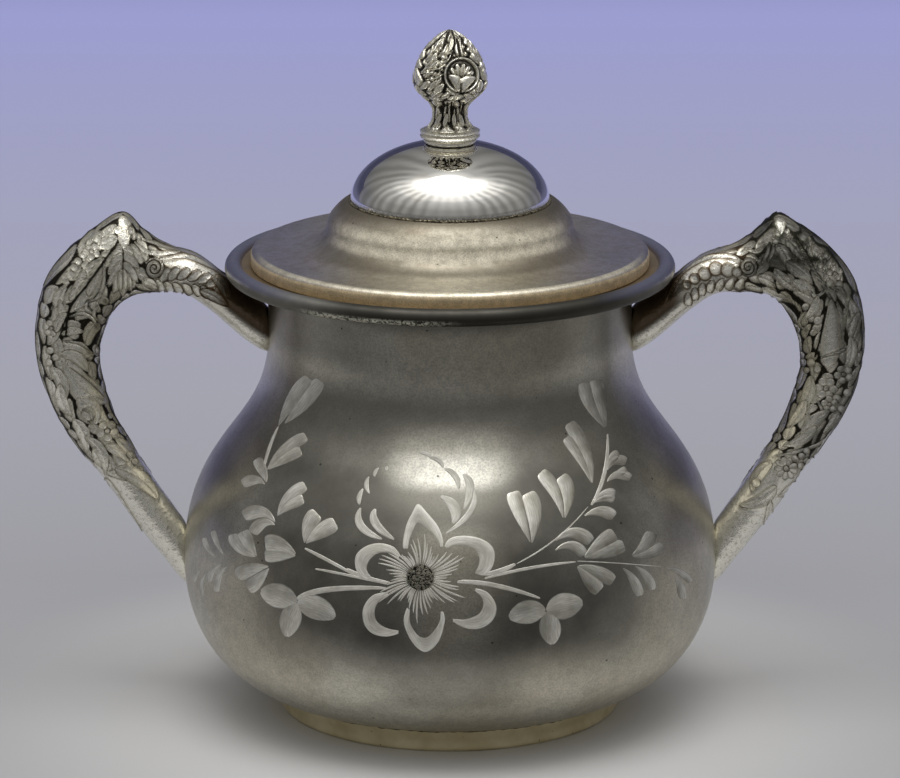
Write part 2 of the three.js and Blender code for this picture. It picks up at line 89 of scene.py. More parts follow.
def to_pixels(points):
    """Where points show in the photograph: offset along right and up over depth, times the focal length."""
    offset = points - CAMERA_PLACE
    scale = FOCAL_PIXELS / (offset @ FORWARD)
    across, up = scale * (offset @ RIGHT), scale * (offset @ UP)
    return np.stack([PHOTO_WIDTH / 2 + across, PHOTO_HEIGHT / 2 - up], -1)


def through_pixels(pixels):
    """The direction of the line of sight through each pixel."""
    offset = (pixels - (PHOTO_WIDTH / 2, PHOTO_HEIGHT / 2)) / FOCAL_PIXELS
    return FORWARD + offset[..., :1] * RIGHT - offset[..., 1:] * UP


# Meshes from grids of points

def shell(name, points, wrap=True, loop=False, poles=(False, False), values=None):
    """A mesh over a grid of points: four-sided faces join neighbours.

    wrap joins the last column to the first, loop the last row to the first, and a pole is a row whose points
    are one and the same. A closed mesh is turned so that its signed volume is positive.
    """
    index = np.arange(points[..., 0].size).reshape(points.shape[:2])
    for row in (0, -1):
        if poles[row]:
            index[row] = index[row, 0]
    if wrap:
        index = np.hstack([index, index[:, :1]])
    if loop:
        index = np.vstack([index, index[:1]])
    a, b = index[:-1, :-1].ravel(), index[:-1, 1:].ravel()
    d, c = index[1:, :-1].ravel(), index[1:, 1:].ravel()
    quads = np.stack([a, b, c, d], -1)[(a != b) & (c != d)]
    triangles = np.concatenate([np.stack([a, c, d], -1)[a == b], np.stack([a, b, c], -1)[c == d]])
    flat = points.reshape(-1, 3)
    if wrap and (loop or all(poles)):
        corners = np.concatenate([quads[:, :3], quads[:, [0, 2, 3]], triangles])
        p, q, r = (flat[corners[:, k]] for k in range(3))
        if np.einsum("ij,ij->", p, np.cross(q, r)) < 0:
            quads, triangles = quads[:, ::-1], triangles[:, ::-1]
    return piece_of(name, flat, quads, triangles, values)


def piece_of(name, flat, quads, triangles, values=None, strokes=None):
    """An object whose mesh holds the faces, smooth shaded, and only the points that they use. values are
    numbers kept at the points, strokes is a flat pattern coordinate."""
    used, renumbered = np.unique(np.concatenate([quads.ravel(), triangles.ravel()]), return_inverse=True)
    quads, triangles = renumbered[:quads.size].reshape(-1, 4), renumbered[quads.size:].reshape(-1, 3)
    mesh = bpy.data.meshes.new(name)
    mesh.from_pydata((flat[used] * METRES).tolist(), [], quads.tolist() + triangles.tolist())
    mesh.polygons.foreach_set("use_smooth", np.ones(len(mesh.polygons), bool))
    for key, numbers in (values or {}).items():
        layer = mesh.attributes.new(key, "FLOAT", "POINT")
        layer.data.foreach_set("value", numbers.reshape(-1)[used].astype(np.float32))
    if strokes is not None:
        corner_points = np.empty(len(mesh.loops), np.int32)
        mesh.loops.foreach_get("vertex_index", corner_points)
        layer = mesh.uv_layers.new(name="strokes")
        layer.data.foreach_set("uv", strokes.reshape(-1, 2)[used][corner_points].astype(np.float32).ravel())
    mesh.update()
    piece = bpy.data.objects.new(name, mesh)
    bpy.context.scene.collection.objects.link(piece)
    return piece


def bezier(start, start_pull, end_pull, end, count):
    """A cubic curve, as the four points weighted by the terms of (1 - t + t) cubed."""
    t = np.linspace(0, 1, count)[:, None]
    a, b, c, d = np.array([start, start_pull, end_pull, end], float)
    return (1 - t) ** 3 * a + 3 * t * (1 - t) ** 2 * b + 3 * t * t * (1 - t) * c + t ** 3 * d


def arc(centre, radius, start, end, count):
    """Points round a centre from one angle to another, in degrees."""
    angle = np.radians(np.linspace(start, end, count))
    return np.asarray(centre, float) + radius * np.stack([np.cos(angle), np.sin(angle)], -1)


def spans(knots, at):
    """The four knots round each place along a curve, and how far along its span the place is."""
    padded = np.vstack([2 * knots[0] - knots[1], knots, 2 * knots[-1] - knots[-2]])
    first = np.clip(np.floor(at).astype(int), 0, len(knots) - 2)
    return [padded[first + k] for k in range(4)], (at - first)[:, None]


def curve_through(knots, count):
    """A Catmull-Rom curve through the knots."""
    (p0, p1, p2, p3), t = spans(knots, np.linspace(0, len(knots) - 1, count))
    return p1 + t / 2 * (p2 - p0 + t * (2 * p0 - 5 * p1 + 4 * p2 - p3 + t * (3 * (p1 - p2) + p3 - p0)))


def eased(outline, radius, closed=False):
    """Rounds every sharp corner: it is cut back by the radius, or by 0.4 of its shorter side, and a middle
    point on the curve through the cut is added."""
    before, after = np.roll(outline, 1, 0), np.roll(outline, -1, 0)
    if not closed:
        before[0], after[-1] = outline[0], outline[-1]
    ways = np.array([before - outline, after - outline])
    lengths = np.linalg.norm(ways, axis=2, keepdims=True)
    shorter = lengths.min(0)
    back, ahead = ways / np.maximum(lengths, 1e-9)
    sharp = (-np.sum(back * ahead, 1) < math.cos(SHARP_TURN)) & (shorter[:, 0] > 0)
    cut = np.minimum(radius, 0.4 * shorter)
    entry, leaving = outline + back * cut, outline + ahead * cut
    spread = np.stack([entry, (entry + leaving + 2 * outline) / 4, leaving], 1)
    spread = np.where(sharp[:, None, None], spread, outline[:, None, :])
    return spread[np.stack([np.ones_like(sharp), sharp, sharp], 1)]


def moved_inward(outline, distance):
    """The outline shifted to the left of its travel, square to the mean of its neighbouring directions."""
    along = np.gradient(outline, axis=0)
    along /= np.linalg.norm(along, axis=1)[:, None]
    return outline + distance * np.stack([-along[:, 1], along[:, 0]], -1)


def travelled(points):
    """The distance along a line of points."""
    return np.concatenate([[0], np.cumsum(np.linalg.norm(np.diff(points, axis=0), axis=1))])


def turns(count):
    """Angles once round, without the last."""
    return np.linspace(0, 2 * math.pi, count, endpoint=False)


def revolved(outline, columns, wobble=None):
    """Points of a surface of revolution: each (r, z) of the outline carried round the axis."""
    angle = turns(columns)
    r, z = outline[:, :1], outline[:, 1:]
    if wobble is not None:
        r, z = r + wobble(angle)[:, 0], z + wobble(angle)[:, 1]
    return np.stack(np.broadcast_arrays(r * np.cos(angle), r * np.sin(angle), z), -1)


def turned(name, outline, columns=TURNED_COLUMNS, ring=True, wobble=None):
    """A turned piece: a ring's outline is closed on itself, another's starts and ends on the axis."""
    return shell(name, revolved(outline, columns, wobble), loop=ring, poles=(not ring, not ring))


# Turned pieces

def body_outside():
    """The belly from the edge of the base up to the top of the neck, as in the CAD."""
    base = np.array([BODY_BASE_R, BODY_BASE_Z])
    leaving = base + BASE_PULL * np.array([math.cos(BASE_ANGLE), math.sin(BASE_ANGLE)])
    belly, neck_foot = (BELLY_R, BELLY_Z), (NECK_R, NECK_FOOT_Z)
    lower = bezier(base, leaving, (BELLY_R, LOWER_PULL_Z), belly, 40)
    upper = bezier(belly, (BELLY_R, UPPER_PULL_Z), (NECK_R, NECK_PULL_Z), neck_foot, 56)
    return np.vstack([lower, upper[1:], np.linspace(neck_foot, (NECK_R, NECK_TOP_Z), 8)[1:]])


BODY_OUTSIDE = body_outside()


def body_radius(z):
    """The body's outer radius at a height."""
    return np.interp(z, BODY_OUTSIDE[:, 1], BODY_OUTSIDE[:, 0])


def body_shell():
    """The body, turned from one outline: the base out from the axis, the outside up, and the inside down
    again, which is the outside shifted inward by the wall."""
    inside = moved_inward(BODY_OUTSIDE, BODY_WALL)[::-1]
    inside[-1] = (BASE_EDGE_R, BODY_BASE_Z + BODY_WALL)
    inside[0, 1] = NECK_TOP_Z
    base = [(r, BODY_BASE_Z) for r in (0, 12, 26, BASE_EDGE_R)]
    floor = [(r, BODY_BASE_Z + BODY_WALL) for r in (26, 12, 0)]
    outline = eased(np.vstack([base, BODY_OUTSIDE, inside, floor]), BODY_EASE)
    return turned("satin_body", outline, BODY_COLUMNS, ring=False)


def foot_ring():
    """The foot, turned from a closed outline: a cubic flare outside and straight lines inside."""
    pull = (FOOT_R, FOOT_STRAIGHT_Z)
    flare = bezier((FOOT_R, FOOT_EDGE), pull, pull, (FOOT_TOP_R, FOOT_HEIGHT), 12)
    bore = FOOT_R - FOOT_WALL
    inner = [(FOOT_TOP_R - FOOT_WALL, FOOT_HEIGHT), (bore, FOOT_STRAIGHT_Z), (bore, 0)]
    outline = np.vstack([[(FOOT_R - FOOT_EDGE, 0)], flare, inner])
    return turned("brassy_foot", eased(outline, EDGE_EASE, closed=True))


def rim_mount():
    """The rim, turned from a closed outline: the spigot, an arc for the bead, and the level ledge."""
    tuck = math.degrees(math.asin((LEDGE_Z - BEAD_Z) / BEAD_R))
    spigot = [(MOUTH_R, SPIGOT_FOOT_Z), (SPIGOT_R, SPIGOT_FOOT_Z), (SPIGOT_R, NECK_TOP_Z + 0.05)]
    bead = arc((RIM_R - BEAD_R, BEAD_Z), BEAD_R, tuck - 180, 180 - tuck, 36)
    outline = np.vstack([spigot, bead, [(MOUTH_R, LEDGE_Z)]])
    return turned("beaded_rim", eased(outline, EDGE_EASE, closed=True))


def lid_cover():
    """The cover, turned from a closed outline: an arc at the brim, a cubic ogee, a cubic crown and the
    collar, then the same shifted inward by the wall."""
    edge = arc((BRIM_R - BRIM_ROUND, BRIM_Z - BRIM_ROUND), BRIM_ROUND, 0, 90, 12)
    foot_z = BRIM_Z + 0.2
    shoulder, seat = (SHOULDER_R, SHOULDER_Z), (SEAT_R, SEAT_Z)
    slope = bezier((BRIM_R - BRIM_WIDTH, foot_z), (SHOULDER_R + OGEE_PULL, foot_z),
                   (SHOULDER_R, SHOULDER_Z - OGEE_PULL), shoulder, 32)
    crown = bezier(shoulder, (SHOULDER_R, SHOULDER_Z + SHOULDER_PULL),
                   (SEAT_R + SHOULDER_PULL, SEAT_Z), seat, 20)
    skin = np.vstack([edge, slope, crown[1:]])
    collar = [(COLLAR_R, SEAT_Z), (COLLAR_R, COLLAR_TOP_Z)]
    under = [(COLLAR_R - LID_WALL, COLLAR_TOP_Z), (COLLAR_R - LID_WALL, SEAT_Z - LID_WALL)]
    outline = np.vstack([[(BRIM_R, LID_Z)], skin, collar, under, moved_inward(skin, LID_WALL)[::-1],
                         [(BRIM_R - LID_WALL, LID_Z)]])
    return turned("satin_lid", eased(outline, EDGE_EASE, closed=True))


def lid_dome():
    """The polished dome: an ellipse from its foot up to the flat under the finial, with its wall inside."""
    angle = np.linspace(0, math.acos(DOME_FLAT_R / DOME_R), 48)
    outside, inside = (
        np.stack([(DOME_R - inset) * np.cos(angle), DOME_Z + (DOME_HEIGHT - inset) * np.sin(angle)], -1)
        for inset in (0, DOME_WALL))
    flat = outside[-1, 1]
    inside[:, 1] = np.minimum(inside[:, 1], flat - DOME_WALL)
    hole = [(STUD_HOLE_R, flat), (STUD_HOLE_R, flat - DOME_WALL)]
    return turned("mirror_dome", np.vstack([outside, hole, inside[::-1]]))


def solder_seam(name, r, z, size, seed):
    """A rough bead of solder round a joint: a small ring whose radius and height wander by a sum of sines."""
    random = np.random.default_rng(seed)
    waves = random.integers(6, 150, SEAM_WAVES)
    phases = random.uniform(0, 2 * math.pi, (2, SEAM_WAVES))

    def wander(angle):
        ripple = np.sin(waves[None, :, None] * angle + phases[:, :, None]).sum(1) / SEAM_WAVES
        return (ripple * size * 0.75)[None]
    return turned(name, arc((r, z), size, 0, 330, 12), SEAM_COLUMNS, wobble=wander)


# Engraving, read off the photograph in pixels

# How fast a cut widens from its point, and how blunt it ends, as powers
LEAF, SPEAR, STEM = (0.95, 0.3), (0.75, 0.75), (0.35, 0.45)

# Each cut is the x and y of its start, its bend and its end, and its width
LEFT_LEAVES = (
    278, 427, 288, 395, 311, 377.5, 13,  284, 424, 304, 411, 321.5, 379, 12.5,
    266.6, 471, 279, 446, 308, 435.5, 10,  268, 470, 284, 460, 302, 449.5, 10,
    266.5, 483, 266, 470, 256, 458, 9,  265, 485, 255, 476, 241.5, 484.5, 9,
    277.2, 517, 286, 494, 307, 484.5, 10,  278, 516, 288, 505, 304.5, 498.5, 9.5,
    275.5, 523, 261, 503, 242, 517, 11,  275.5, 525.5, 262, 519, 252, 534.5, 10,
    256.5, 557, 233, 554, 232.5, 533, 9.5,  257, 557, 251, 540, 242.5, 530.5, 11,
    296.5, 555, 279, 538, 264, 544, 15,  296, 556, 283, 558, 263.5, 556, 11,
    269.5, 566.5, 248, 563, 236, 576, 12,  269.5, 567.5, 260, 586, 247, 589, 12,
    304.5, 544, 303, 520, 318, 512.5, 13,  305.5, 544, 320, 535, 337, 522.5, 13,
    217, 558, 206, 551, 204.5, 537, 4.6,  223.8, 555.5, 216, 544, 212.8, 530, 4.6,
    222.5, 564, 207, 568, 209, 583, 5.4,  227.5, 566.5, 218, 574, 217, 593, 5.4,
    201.5, 569.5, 195, 572, 194, 582, 3.4,  206, 574, 201, 582, 202, 598, 3.4,
)
RIGHT_LEAVES = (
    531, 544, 512, 508, 512.5, 490.5, 12.5,  531.5, 544.5, 545, 514, 527, 491.5, 14,
    563.5, 519.5, 555, 488, 539.5, 471, 11.5,  564.5, 519.5, 578, 492, 560, 475, 12.5,
    592.4, 485, 595, 452, 567.5, 421, 12,  592, 484.5, 577, 452, 565, 436.5, 9.5,
    606, 429, 582, 404, 584.5, 381.5, 12,  606.5, 428, 603, 400, 595.5, 378.5, 13,
    607.3, 471, 612, 455, 627.3, 462, 8.5,  607, 470.5, 610, 458, 619.5, 453, 8,
    606.4, 482.6, 615, 468, 631.5, 478.8, 8,  606.5, 482, 622, 473, 627, 469, 6.5,
    592.5, 504.2, 603, 491, 616, 494, 9,  593, 503.6, 606, 496, 615, 500, 6.5,
    583.6, 516.3, 602, 506, 615, 517.5, 10,
    554.5, 542, 573, 524, 592.3, 543, 11,  554, 551, 574, 538, 584.5, 556.5, 9.5,
    583.5, 557.8, 600, 540, 616, 533, 13,  584, 558, 604, 556, 625.5, 544.5, 12,
    631, 555.8, 646, 545, 652, 531, 10.5,  631.5, 556.2, 654, 559, 663.5, 544.5, 9.5,
    576.8, 565.6, 587, 584, 600.5, 591.5, 12.5,  577.5, 565.6, 598, 566, 614.5, 582, 11.5,
    622, 567.5, 635, 577, 640, 597, 8.5,  634, 565.5, 650, 574, 651.5, 591, 8.5,
    664.5, 567.6, 680, 568, 691.5, 583, 5.5,  674.5, 574.5, 681, 584, 683.5, 600, 7,
)
TREFOILS = (
    298, 603.5, 278, 594, 259.5, 591.3, 28,  296, 603.5, 315, 604, 336, 618.6, 27,
    297, 602, 289, 618, 287, 638, 25,  546.5, 611.5, 529, 609, 508, 618.5, 27,
    546, 612.5, 562, 605, 584, 602.3, 30,  548, 610.5, 550, 628, 552.3, 645.5, 25,
)
STEMS = (
    303, 547.5, 330, 561, 358, 577, 4,  345, 568, 366, 580, 392, 583, 4.5,
    313.5, 568.6, 340, 573, 391, 585, 3,  296, 600, 312, 585, 392, 588.5, 6.5,
    264, 467.5, 268, 447, 279, 425, 3.6,
    483.5, 574.6, 500, 573, 516.5, 563.4, 6,  514, 565, 560, 543, 590, 504, 1.8,
    590, 507, 610, 478, 607.5, 431, 4.6,  481.5, 579.4, 528, 566, 579, 561.5, 3.6,
    455, 582, 490, 580, 543.5, 599.5, 5.5,  575, 561, 610, 562, 665, 567, 1.2,
)
SPRIGS = (
    387.5, 466, 386, 469, 386.5, 471, 3,  379, 467.5, 373, 473, 375, 477, 3.4,
    369.5, 476, 363, 485, 370, 494, 4,  363.5, 488, 356.5, 498, 360, 505, 4.4,
    384, 539.8, 349, 528, 361.5, 506.5, 7,  396, 540.5, 365, 522, 376.3, 508, 7.5,
    418.5, 452.5, 427, 452, 432, 458.5, 3.6,  428.5, 457.5, 441, 457, 443.3, 468.5, 4.6,
    458.8, 490, 459, 472, 443, 468.3, 5.5,  463, 511, 478, 481, 461.5, 474, 7.5,
    443.5, 535, 482, 512, 473, 488, 5.5,  452, 524.5, 464, 507, 439.5, 495.5, 10,
)
# Each petal as its outer and then its inner edge, from one root round the tip to the other root
PETALS = [
    (403.5, 551, 403.4, 541, 406.5, 526, 412, 514, 418, 505, 427, 513.5, 437, 525.5, 442.5, 538, 443.3, 549,
     407.5, 551, 408.8, 541, 411.3, 533, 414.2, 526.5, 418, 521.5, 424.5, 526, 432.5, 533, 438.5, 541,
     440.8, 549),
    (443, 548, 450, 539, 463.3, 536.3, 480, 539, 492.3, 548.3, 493, 563, 486, 574.5, 478, 575,
     444.5, 549, 454, 545, 465.5, 545, 475, 549.5, 480, 557, 479.5, 565, 476.5, 571, 475, 574),
    (402, 557.5, 393.3, 547.3, 380, 543.7, 366.7, 546.5, 357, 555, 356, 567, 361.5, 577.5, 372, 580,
     400.5, 559.5, 391.7, 553.3, 382, 552, 373.5, 555, 367.6, 561.7, 366, 568.3, 368.3, 574, 373, 578.5),
    (390, 591.5, 373.3, 595.5, 364, 608, 364.5, 623, 373, 633, 386.7, 636, 401, 633,
     391.7, 594, 380.5, 599.5, 375, 606.7, 374.2, 616.7, 378.6, 624, 388.3, 629, 401, 631),
    (408, 604, 404, 620, 408, 634, 416.5, 646.5, 427, 651, 438.5, 640.5, 444.5, 621, 442.5, 609,
     410, 607, 409.3, 620, 412.7, 629.3, 419.3, 637, 427, 638, 434.5, 631, 440, 621, 441, 609),
    (473, 587.5, 487, 592.5, 495.3, 605, 493, 618.3, 482, 627, 466.7, 628, 449.5, 620,
     473, 589.5, 481.5, 596.7, 484, 605, 480.5, 613.3, 473.3, 617.7, 463.3, 620, 450.5, 618.5),
]
FLOWER_EYE, EYE_PIXELS, EYE_RISE = (420.5, 577.5), 16.0, 0.06
STAMENS, STAMEN_ROOT, STAMEN_WIDTH = 54, 12.5, 2.3
CUT_ROWS, PETAL_ROWS, CUT_COLUMNS = 22, 56, 9
CUT_RISE, SUNK = 0.075, 0.7
CUT_SECTION = np.array([-SUNK, 0.75, 0.95, 0.8, 0.7, 0.8, 0.95, 0.75, -SUNK])
LEAF_FULLNESS, SPRIG_FULLNESS, LEAN, SAME_ROOT = 1.45, 1.3, 0.36, 7.0
MM_PER_PIXEL = 0.235
CLEAR_OF_BELLY, HALVINGS = 6, 40


def on_body(pixels, rise):
    """Points on the body behind pixels of the photograph, lifted off it by rise.

    Along each line of sight the body's skin is where the distance from the axis equals its radius at that
    height; the distance is halved down to it between a plane before the belly and the one through the axis.
    """
    sight = through_pixels(pixels)
    near = (-BELLY_R - CLEAR_OF_BELLY - CAMERA_PLACE[1]) / sight[..., 1]
    far = -CAMERA_PLACE[1] / sight[..., 1]
    for _ in range(HALVINGS):
        middle = (near + far) / 2
        point = CAMERA_PLACE + middle[..., None] * sight
        inside = np.hypot(point[..., 0], point[..., 1]) < body_radius(point[..., 2])
        near, far = np.where(inside, near, middle), np.where(inside, middle, far)
    point = CAMERA_PLACE + near[..., None] * sight
    slope = body_radius(point[..., 2] + 0.5) - body_radius(point[..., 2] - 0.5)
    radius = np.hypot(point[..., 0], point[..., 1])
    normal = np.stack([point[..., 0] / radius, point[..., 1] / radius, -slope], -1)
    return point + rise[..., None] * normal / np.linalg.norm(normal, axis=-1, keepdims=True)


def cut_strips(name, pixels, across, along):
    """Cuts as one mesh: each is a strip of grid on the body. Its edges and both ends are sunk, a burr stands
    just inside the edges, and the floor between dips. Each point keeps how far it is across and along."""
    t = np.linspace(0, 1, pixels.shape[1])[None, :, None]
    ending = np.minimum(1, np.minimum(t, 1 - t) * 14)
    rise = np.broadcast_to(CUT_RISE * (CUT_SECTION * ending - SUNK * (1 - ending)), pixels.shape[:-1])
    index = np.arange(rise.size).reshape(rise.shape)
    corners = index[:, :-1, :-1], index[:, :-1, 1:], index[:, 1:, 1:], index[:, 1:, :-1]
    quads = np.stack([corner.ravel() for corner in corners], -1)
    edge = np.broadcast_to(np.abs(np.linspace(-1, 1, CUT_COLUMNS)), rise.shape)
    strokes = np.stack(np.broadcast_arrays(across, along), -1) * MM_PER_PIXEL
    points = on_body(pixels, rise).reshape(-1, 3)
    return piece_of(name, points, quads, np.zeros((0, 3), int), {"edge": edge}, strokes)


def bright_cuts(name, cuts, taper, fullness=1.0, lean=0.0):
    """Engraved cuts along quadratic curves of pixels.

    A cut's half width is width / 2 times t to one power times (1 - t) to the other, over the most that this
    comes to. Cuts from one root lean together: each bend moves by the share lean towards their mean bend.
    """
    cuts = np.reshape(cuts, (-1, 7)).astype(float)
    starts, bends, ends, widths = cuts[:, 0:2], cuts[:, 2:4], cuts[:, 4:6], cuts[:, 6] * fullness
    together = np.linalg.norm(starts[:, None] - starts[None], axis=-1) < SAME_ROOT
    bends = bends + lean * (together @ bends / together.sum(1, keepdims=True) - bends)
    starts, bends, ends = starts[:, None], bends[:, None], ends[:, None]
    t = np.linspace(0, 1, CUT_ROWS)[None, :, None]
    middle = (1 - t) ** 2 * starts + 2 * t * (1 - t) * bends + t ** 2 * ends
    heading = 2 * (1 - t) * (bends - starts) + 2 * t * (ends - bends)
    heading /= np.linalg.norm(heading, axis=-1, keepdims=True)
    side = np.stack([-heading[..., 1], heading[..., 0]], -1)
    widen, blunt = taper
    widest = widen / (widen + blunt)
    shape = t ** widen * (1 - t) ** blunt / (widest ** widen * (1 - widest) ** blunt)
    across = np.maximum(shape * widths[:, None, None] / 2, 0.12) * np.linspace(-1, 1, CUT_COLUMNS)
    along = np.linalg.norm(ends - starts, axis=-1)[..., None] * t + 40 * np.arange(len(cuts))[:, None, None]
    return cut_strips(name, middle[:, :, None] + side[:, :, None] * across[..., None], across, along)


def petals(name):
    """The flower's petals, each between two smooth curves of pixels."""
    t = np.linspace(0, 1, PETAL_ROWS)[None, :, None]
    share = np.linspace(-0.14, 1.14, CUT_COLUMNS)[:, None]
    edges = [[curve_through(edge, PETAL_ROWS)[:, None] for edge in np.reshape(petal, (2, -1, 2))]
             for petal in PETALS]
    pixels = np.array([outer * (1 - share) + inner * share for outer, inner in edges])
    across = np.linalg.norm(pixels - pixels[:, :, :1], axis=-1) - 6
    return cut_strips(name, pixels, across, 60 * t + 90 * np.arange(len(PETALS))[:, None, None])


def stamen_cuts():
    """The flower's stamens: hair cuts from the eye outward, longest in the middle of each petal."""
    random = np.random.default_rng(7)
    angles = turns(STAMENS) + random.uniform(-0.03, 0.03, STAMENS)
    reach = 25 + 23 * np.abs(np.cos(3 * (angles - math.pi / 2))) ** 1.3 * random.uniform(0.55, 1, STAMENS)

    def spots(radius, turn):
        x, y = radius * np.cos(angles + turn) * 1.08, radius * np.sin(angles + turn)
        return np.stack([x, y], -1) + FLOWER_EYE
    return np.hstack([spots(reach, 0), spots(reach * 0.62, 0.11), spots(STAMEN_ROOT, 0.02),
                      np.full((STAMENS, 1), STAMEN_WIDTH)])


def flower_eye():
    """The stippled eye of the flower: rings of points round its middle, a low dome on the body."""
    ring = np.linspace(0, 1, 12)[:, None]
    turn = turns(48)
    pixels = FLOWER_EYE + EYE_PIXELS * ring[..., None] * np.stack([np.cos(turn), np.sin(turn)], -1)
    rise = EYE_RISE * (1 - 1.9 * ring ** 3) * (1 + 0.5 * np.cos(24 * turn) * ring)
    return shell("engraved_eye", on_body(pixels, rise), poles=(True, False))


# Cast ornament, read off the photograph in pixels

def smooth(value, low, high):
    """Climbs from 0 at low to 1 at high with level ends: 3 t squared minus 2 t cubed."""
    t = np.clip((value - low) / (high - low), 0, 1)
    return t * t * (3 - 2 * t)


def ball(share):
    """The height of half a ball at a share of its radius."""
    return np.sqrt(1 - np.clip(share, 0, 0.999) ** 2)


class Relief:
    """Ornament of a casting: the height at each point, 0 in the deepest recess and 1 on a crown, shaped in
    pixels of the photograph. Each form covers what lies under it and sinks a moat round itself."""

    def __init__(self, points, ground):
        self.pixels = to_pixels(points)
        self.height = ground

    def lay(self, depth_in, height, moat=0.66):
        """Lays a form down where depth_in, the pixels in from its edge, is above 0."""
        cover = np.clip(depth_in + 0.5, 0, 1)
        ditch = moat * np.exp(-(np.maximum(-depth_in, 0) / 1.05) ** 2) * (1 - cover)
        self.height = self.height * (1 - ditch) * (1 - cover) + height * cover

    def around(self, *centre):
        """How far each point is from a centre, and its angle round it."""
        x, y = np.moveaxis(self.pixels - centre, -1, 0)
        return np.hypot(x, y), np.arctan2(y, x)

    def leaves(self, *rows, taper=(0.6, 0.8), top=1.0, midrib=0.35):
        """Leaves, each from the x and y of its base to those of its tip, then its width, bow and veins. Half
        of width is multiplied by t and 1 - t to the powers of taper, and the middle bows by 4 t (1 - t)."""
        a, b = taper
        for x, y, tip_x, tip_y, width, *rest in rows:
            bow, veins = (*rest, 0, 0)[:2]
            axis = np.array([tip_x - x, tip_y - y], float)
            length = np.linalg.norm(axis)
            offset = self.pixels - (x, y)
            t = offset @ axis / length ** 2
            inner = np.clip(t, 0, 1)
            side = (offset[..., 0] * axis[1] - offset[..., 1] * axis[0]) / length
            side -= bow * length * 4 * inner * (1 - inner)
            half = width / 2 * inner ** a * (1 - inner) ** b / ((a / (a + b)) ** a * (b / (a + b)) ** b)
            share = np.clip(np.abs(side) / np.maximum(half, 0.4), 0, 1)
            height = top * (0.3 + 0.7 * np.sqrt(1 - 0.97 * share ** 2)) - midrib * np.exp(-(side / 0.9) ** 2)
            if veins:
                height += 0.16 * share * np.cos(2 * math.pi * (veins * t - 0.9 * share))
            self.lay(half - np.abs(side) - np.maximum(0, np.maximum(-t, t - 1)) * length, height)

    def beads(self, *rows, top=1.0):
        """Round berries, each x, y and radius: half balls."""
        for x, y, radius in rows:
            away, _ = self.around(x, y)
            self.lay(radius - away, top * (0.25 + 0.75 * ball(away / radius)))

    def blossom(self, x, y, radius, count, turn):
        """An open flower: its edge and crowns swell with the cosine of the turn round it, and a berry sits in
        the hollow middle."""
        away, round_it = self.around(x, y)
        lobe = np.abs(np.cos(count * (round_it - turn) / 2))
        edge = radius * (0.7 + 0.3 * lobe ** 0.7)
        share = np.clip(away / edge, 0, 1)
        height = (0.35 + 0.65 * lobe ** 0.6) * (1 - 0.55 * np.abs(share - 0.62) ** 1.4) - 0.5 * (share < 0.3)
        self.lay(edge - away, np.clip(height, 0.05, 1))
        self.beads((x, y, radius * 0.24), top=0.9)

    def scroll(self, x, y, radius, hand):
        """A volute: a rounded ridge that winds in twice."""
        away, round_it = self.around(x, y)
        wave = np.cos(2 * math.pi * (away / radius * 2.2 + round_it * hand / (2 * math.pi)))
        self.lay(radius - away, 0.15 + 0.85 * (0.5 + 0.5 * wave), moat=0.9)

    def path_distance(self, path, count=26):
        """Pixels from a smooth path, with the share along it of the nearest place."""
        fine = curve_through(np.reshape(path, (-1, 2)).astype(float), count)
        best, share = np.full(self.height.shape, 1e9), np.zeros(self.height.shape)
        for i, step in enumerate(np.diff(fine, axis=0)):
            offset = self.pixels - fine[i]
            t = np.clip(offset @ step / (step @ step), 0, 1)
            away = np.hypot(*np.moveaxis(offset - t[..., None] * step, -1, 0))
            nearer = away < best
            best, share = np.where(nearer, away, best), np.where(nearer, (i + t) / (count - 1), share)
        return best, share

    def groove(self, width, depth, *path):
        """A cut whose section is a bell, along the x and y of its path."""
        away, _ = self.path_distance(path)
        self.height = self.height * (1 - depth * np.exp(-(away / width) ** 2))

    def ridges(self, *rows):
        """Rounded strands that thin to their ends, each its width, its height and the x and y of its path."""
        for width, top, *path in rows:
            away, share = self.path_distance(path)
            half = width / 2 * (0.35 + 0.65 * np.sin(math.pi * np.clip(share, 0, 1)))
            self.lay(half - away, top * (0.3 + 0.7 * ball(away / half)), moat=0.7)

    def lobes(self, count, length, width, lean, *path):
        """Lobes set side by side along a path, each leaning from it by an angle in degrees."""
        x, y = curve_through(np.reshape(path, (-1, 2)).astype(float), count).T
        heading = np.arctan2(np.gradient(y), np.gradient(x)) + math.radians(lean)
        across, down = length * np.cos(heading) / 2, length * np.sin(heading) / 2
        rows = np.stack([x - across, y - down, x + across, y + down, np.full(count, width)], -1)
        self.leaves(*rows, taper=(0.5, 0.3), midrib=0)


def foliage(distance, turn, leaf_length, rows_round, seed):
    """A ground of small overlapping leaves: the distance from each leaf's middle in a staggered lattice that
    is bent by slow sines, with a vein down each."""
    phases = np.random.default_rng(seed).uniform(0, 2 * math.pi, 6)
    slower, slow = distance * 0.23 + phases[0] + 2 * turn, distance * 0.51 + phases[1] - turn
    bend = 0.35 * np.sin(slower) + 0.25 * np.sin(slow)
    round_it = turn / (2 * math.pi) * rows_round + 0.3 * np.sin(distance * 0.3 + phases[2])
    along = (distance / leaf_length + bend + 0.5 * (np.floor(round_it) % 2)) % 1
    aside = (round_it % 1) - 0.5
    edge = 0.5 * np.sin(math.pi * along ** 0.7) ** 0.7
    share = np.clip(np.abs(aside) / np.maximum(edge, 0.02), 0, 1)
    return np.clip(0.2 + 0.75 * np.sqrt(1 - share ** 2) - 0.3 * np.exp(-(aside / 0.07) ** 2), 0, 1)


# Handles

